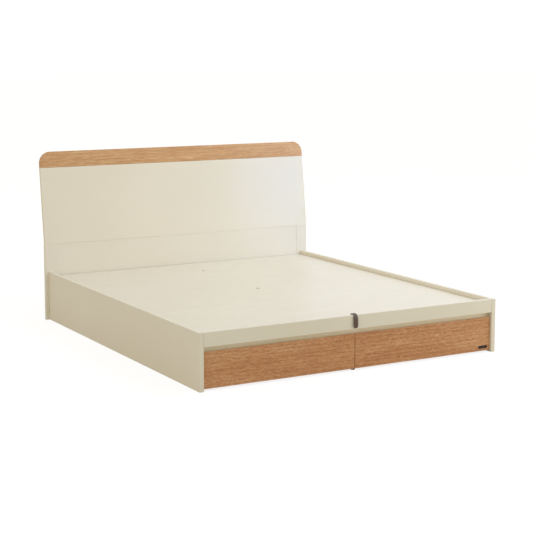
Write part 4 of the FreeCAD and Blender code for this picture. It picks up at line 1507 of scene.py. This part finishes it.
@dataclass
class Fasteners(Assembly):
    """Screws, bolts and steel angles."""

    steel: float = 0.003
    leg: float = 0.040
    bend: float = 0.0055
    bend_steps: int = 6
    ease: float = 0.0004
    screw_shares: Pair = (0.25, 0.75)

    def build(self) -> None:
        """Builds the angles behind the drawers, and every head that can be seen."""
        low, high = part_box("steel_angles")
        bent, seats = [], []
        bend, leg, steel = self.bend, self.leg, self.steel
        along = leg * self.screw_shares[1]
        for _, side in SIDES:
            x, y = side * high.x, low.y
            centre, sweep = (x - side * bend, y + bend), side * QUARTER
            outer, inner = (arc(centre, radius, -QUARTER, sweep, self.bend_steps)
                            for radius in (bend, bend - steel))
            outline = [(x - side * leg, y), *outer, (x, y + leg), (x - side * steel, y + leg),
                       *reversed(inner), (x - side * leg, y + steel)]
            bent.append(sawn("angle", Axis.Z, [outline], low.z, high.z, self.ease, 1))
            for share in self.screw_shares:
                z = low.z + share * (high.z - low.z)
                seats.append(((x - side * steel, y + along, z), -RIGHT * side))
                seats.append(((x - side * along, y + steel, z), REAR))
        self.fit_joined("steel_angles_bent", bent, "base", Finish.ZINC, "steel_angles")
        self.fit_heads("angle_screw_heads", BOARD_SCREW, seats, "base", "angle_screws")
        panel_low, panel_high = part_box("side_panel_right")
        bolt_x = (panel_low.x + panel_high.x) / 2
        bolt_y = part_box("headboard_bolts")[1].y - FRAME_BOLT.height
        seats = [((side * bolt_x, bolt_y, share * panel_high.z), REAR)
                 for _, side in SIDES for share in self.screw_shares]
        self.fit_heads("headboard_bolt_heads", FRAME_BOLT, seats, "base", "headboard_bolts")
        low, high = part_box("strap_plate")
        seats = [((low.x + share * (high.x - low.x), (low.y + high.y) / 2, low.z), -UP)
                 for share in self.screw_shares]
        self.fit_heads("strap_screw_heads", BOARD_SCREW, seats, "platform", "strap_screws")


class LampKind(Enum):
    """The two kinds of lamp in the studio."""

    DISTANT = "SUN"
    SOFTBOX = "AREA"


@dataclass(frozen=True)
class Lamp:
    """One lamp, aimed at a point of the bed.

    Its strength is a share of white, on a surface that faces it. Its size is the side of a softbox in
    metres, or the angle of a distant lamp in degrees. Its spread is in degrees.
    """

    name: str
    kind: LampKind
    place: Triple
    aim: Triple
    strength: float
    size: float
    colour: Colour = (1.0, 1.0, 1.0)
    spread: float = 180.0

    def hang(self) -> None:
        """Hangs the lamp, out of the camera's sight."""
        light = bpy.data.lights.new(self.name, self.kind.value)
        away = Vector(self.place) - Vector(self.aim)
        light.energy = self.strength * math.pi
        if self.kind is LampKind.DISTANT:
            light.angle = math.radians(self.size)
        else:
            light.shape = "SQUARE"
            light.size = self.size
            light.spread = math.radians(self.spread)
            light.energy = self.strength * math.pi * math.pi * away.length_squared
        light.color = self.colour
        hung = link(self.name, light)
        hung.location = self.place
        hung.rotation_mode = "QUATERNION"
        hung.rotation_quaternion = away.to_track_quat("Z", "Y")
        hung.visible_camera = False


@dataclass
class Studio:
    """Floor, backdrop light, lamps and camera."""

    camera_place: Triple = (-3.88921, -5.89400, 1.71630)
    camera_yaw_degrees: float = 29.573
    camera_pitch_degrees: float = 7.185
    camera_lens: float = 92.283
    camera_sensor: float = 36.0
    camera_shift: float = -0.0966
    camera_reach: float = 500.0
    floor_half: float = 60.0
    floor_papers: tuple[Colour, Colour] = ((0.80, 0.782, 0.718), (0.50, 0.49, 0.475))
    floor_cloud: Layer = (0.8, 2.0)
    floor_drift: float = 0.01
    floor_lift: float = 0.84
    world_strength: float = 0.780
    world_tint: tuple[float, ...] = (0.995, 0.99, 0.965, 1.0)
    white: tuple[float, ...] = (1.0, 1.0, 1.0, 1.0)
    lamps: tuple[Lamp, ...] = (
        Lamp("right_softbox", LampKind.SOFTBOX, (3.05, -1.3, 4.4), (0.8, 1.0, 0.5), 0.38, 2.2,
             (0.89, 0.97, 1.24)),
        Lamp("corner_softbox", LampKind.SOFTBOX, (2.3, -2.4, 0.45), (0.4, -1.05, 0.15), 0.085, 0.6,
             (1.0, 0.99, 0.97)),
        Lamp("headboard_glow", LampKind.SOFTBOX, (2.9, -3.4, 2.4), (1.25, 1.08, 0.75), 0.0038, 0.5,
             (0.45, 0.85, 1.70), 24.0),
        Lamp("front_fill", LampKind.DISTANT, (2.5, -6.0, 1.5), STAY, 0.03, 30.0, (1.0, 0.90, 0.70)),
        Lamp("left_fill", LampKind.DISTANT, (-6.0, -1.8, 1.8), STAY, 0.100, 40.0, (1.25, 0.90, 0.68)),
    )

    def build(self) -> None:
        """Sets up the studio."""
        self.build_floor()
        self.build_world()
        for lamp in self.lamps:
            lamp.hang()
        self.build_camera()
        bpy.context.scene.view_settings.view_transform = "Standard"

    def build_floor(self) -> None:
        """Lays a wide pale floor that keeps the bed's shadow."""
        half = self.floor_half
        mesh = bpy.data.meshes.new("studio_floor")
        mesh.from_pydata([(-half, -half, 0), (half, -half, 0), (half, half, 0), (-half, half, 0)], [],
                         [(0, 1, 2, 3)])
        floor = link("studio_floor", mesh)
        recipe = Recipe("studio_paper")
        seen = recipe.add("ShaderNodeLightPath").outputs["Is Camera Ray"]
        cloud = recipe.noise(*self.floor_cloud)
        paper, shown = (recipe.ramp(cloud, *zip(MIDDLE, (tone, tuple(c + self.floor_drift for c in tone))))
                        for tone in self.floor_papers)
        matt = recipe.add("ShaderNodeBsdfDiffuse", {"Color": recipe.mix(seen, paper, shown)})
        glow = recipe.add("ShaderNodeEmission", {"Strength": recipe.combine(TIMES, seen, self.floor_lift)})
        both = recipe.add("ShaderNodeAddShader", {0: matt.outputs[0], 1: glow.outputs[0]})
        below = recipe.add("ShaderNodeNewGeometry").outputs["Backfacing"]
        clear = recipe.add("ShaderNodeBsdfTransparent")
        sided = recipe.add("ShaderNodeMixShader", {0: below, 1: both.outputs[0], 2: clear.outputs[0]})
        recipe.add("ShaderNodeOutputMaterial", {"Surface": sided.outputs[0]})
        mesh.materials.append(recipe.owner)

    def build_world(self) -> None:
        """Surrounds the bed with soft light, and shows white behind it."""
        recipe = Recipe("studio_world", "worlds")
        rays = recipe.add("ShaderNodeLightPath")
        seen = recipe.combine("MAXIMUM", *(rays.outputs[f"Is {kind} Ray"]
                                           for kind in ("Camera", "Glossy", "Transmission")))
        inputs = {"Color": recipe.mix(seen, self.world_tint, self.white),
                  "Strength": recipe.range(seen, self.world_strength, 1.0)}
        background = recipe.add("ShaderNodeBackground", inputs)
        recipe.add("ShaderNodeOutputWorld", {"Surface": background.outputs[0]})
        bpy.context.scene.world = recipe.owner

    def build_camera(self) -> None:
        """Stands the camera where the photograph was taken from."""
        lens = bpy.data.cameras.new("camera")
        lens.sensor_width, lens.lens = self.camera_sensor, self.camera_lens
        lens.shift_y, lens.clip_end = self.camera_shift, self.camera_reach
        camera = link("camera", lens)
        camera.location = Vector(self.camera_place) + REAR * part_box("foot_rail")[0].y
        pitch = math.radians(QUARTER - self.camera_pitch_degrees)
        camera.rotation_euler = (pitch, 0.0, -math.radians(self.camera_yaw_degrees))
        bpy.context.scene.camera = camera


ASSEMBLIES: tuple[type[Assembly], ...] = (
    Carcass, Headboard, Platform, PullStrap, Hinges, GasStruts, Drawers, Runners, Fasteners,
)


def main() -> None:
    """Builds the bed's sub-assemblies in order, then the studio."""
    logging.basicConfig(level=logging.INFO, format="%(name)s: %(message)s")
    materials = {finish: finish.look.make() for finish in Finish}
    for assembly in ASSEMBLIES:
        log.info("building %s", assembly.__name__)
        assembly(materials).build()
    Studio().build()


if __name__ == "__main__":
    main()
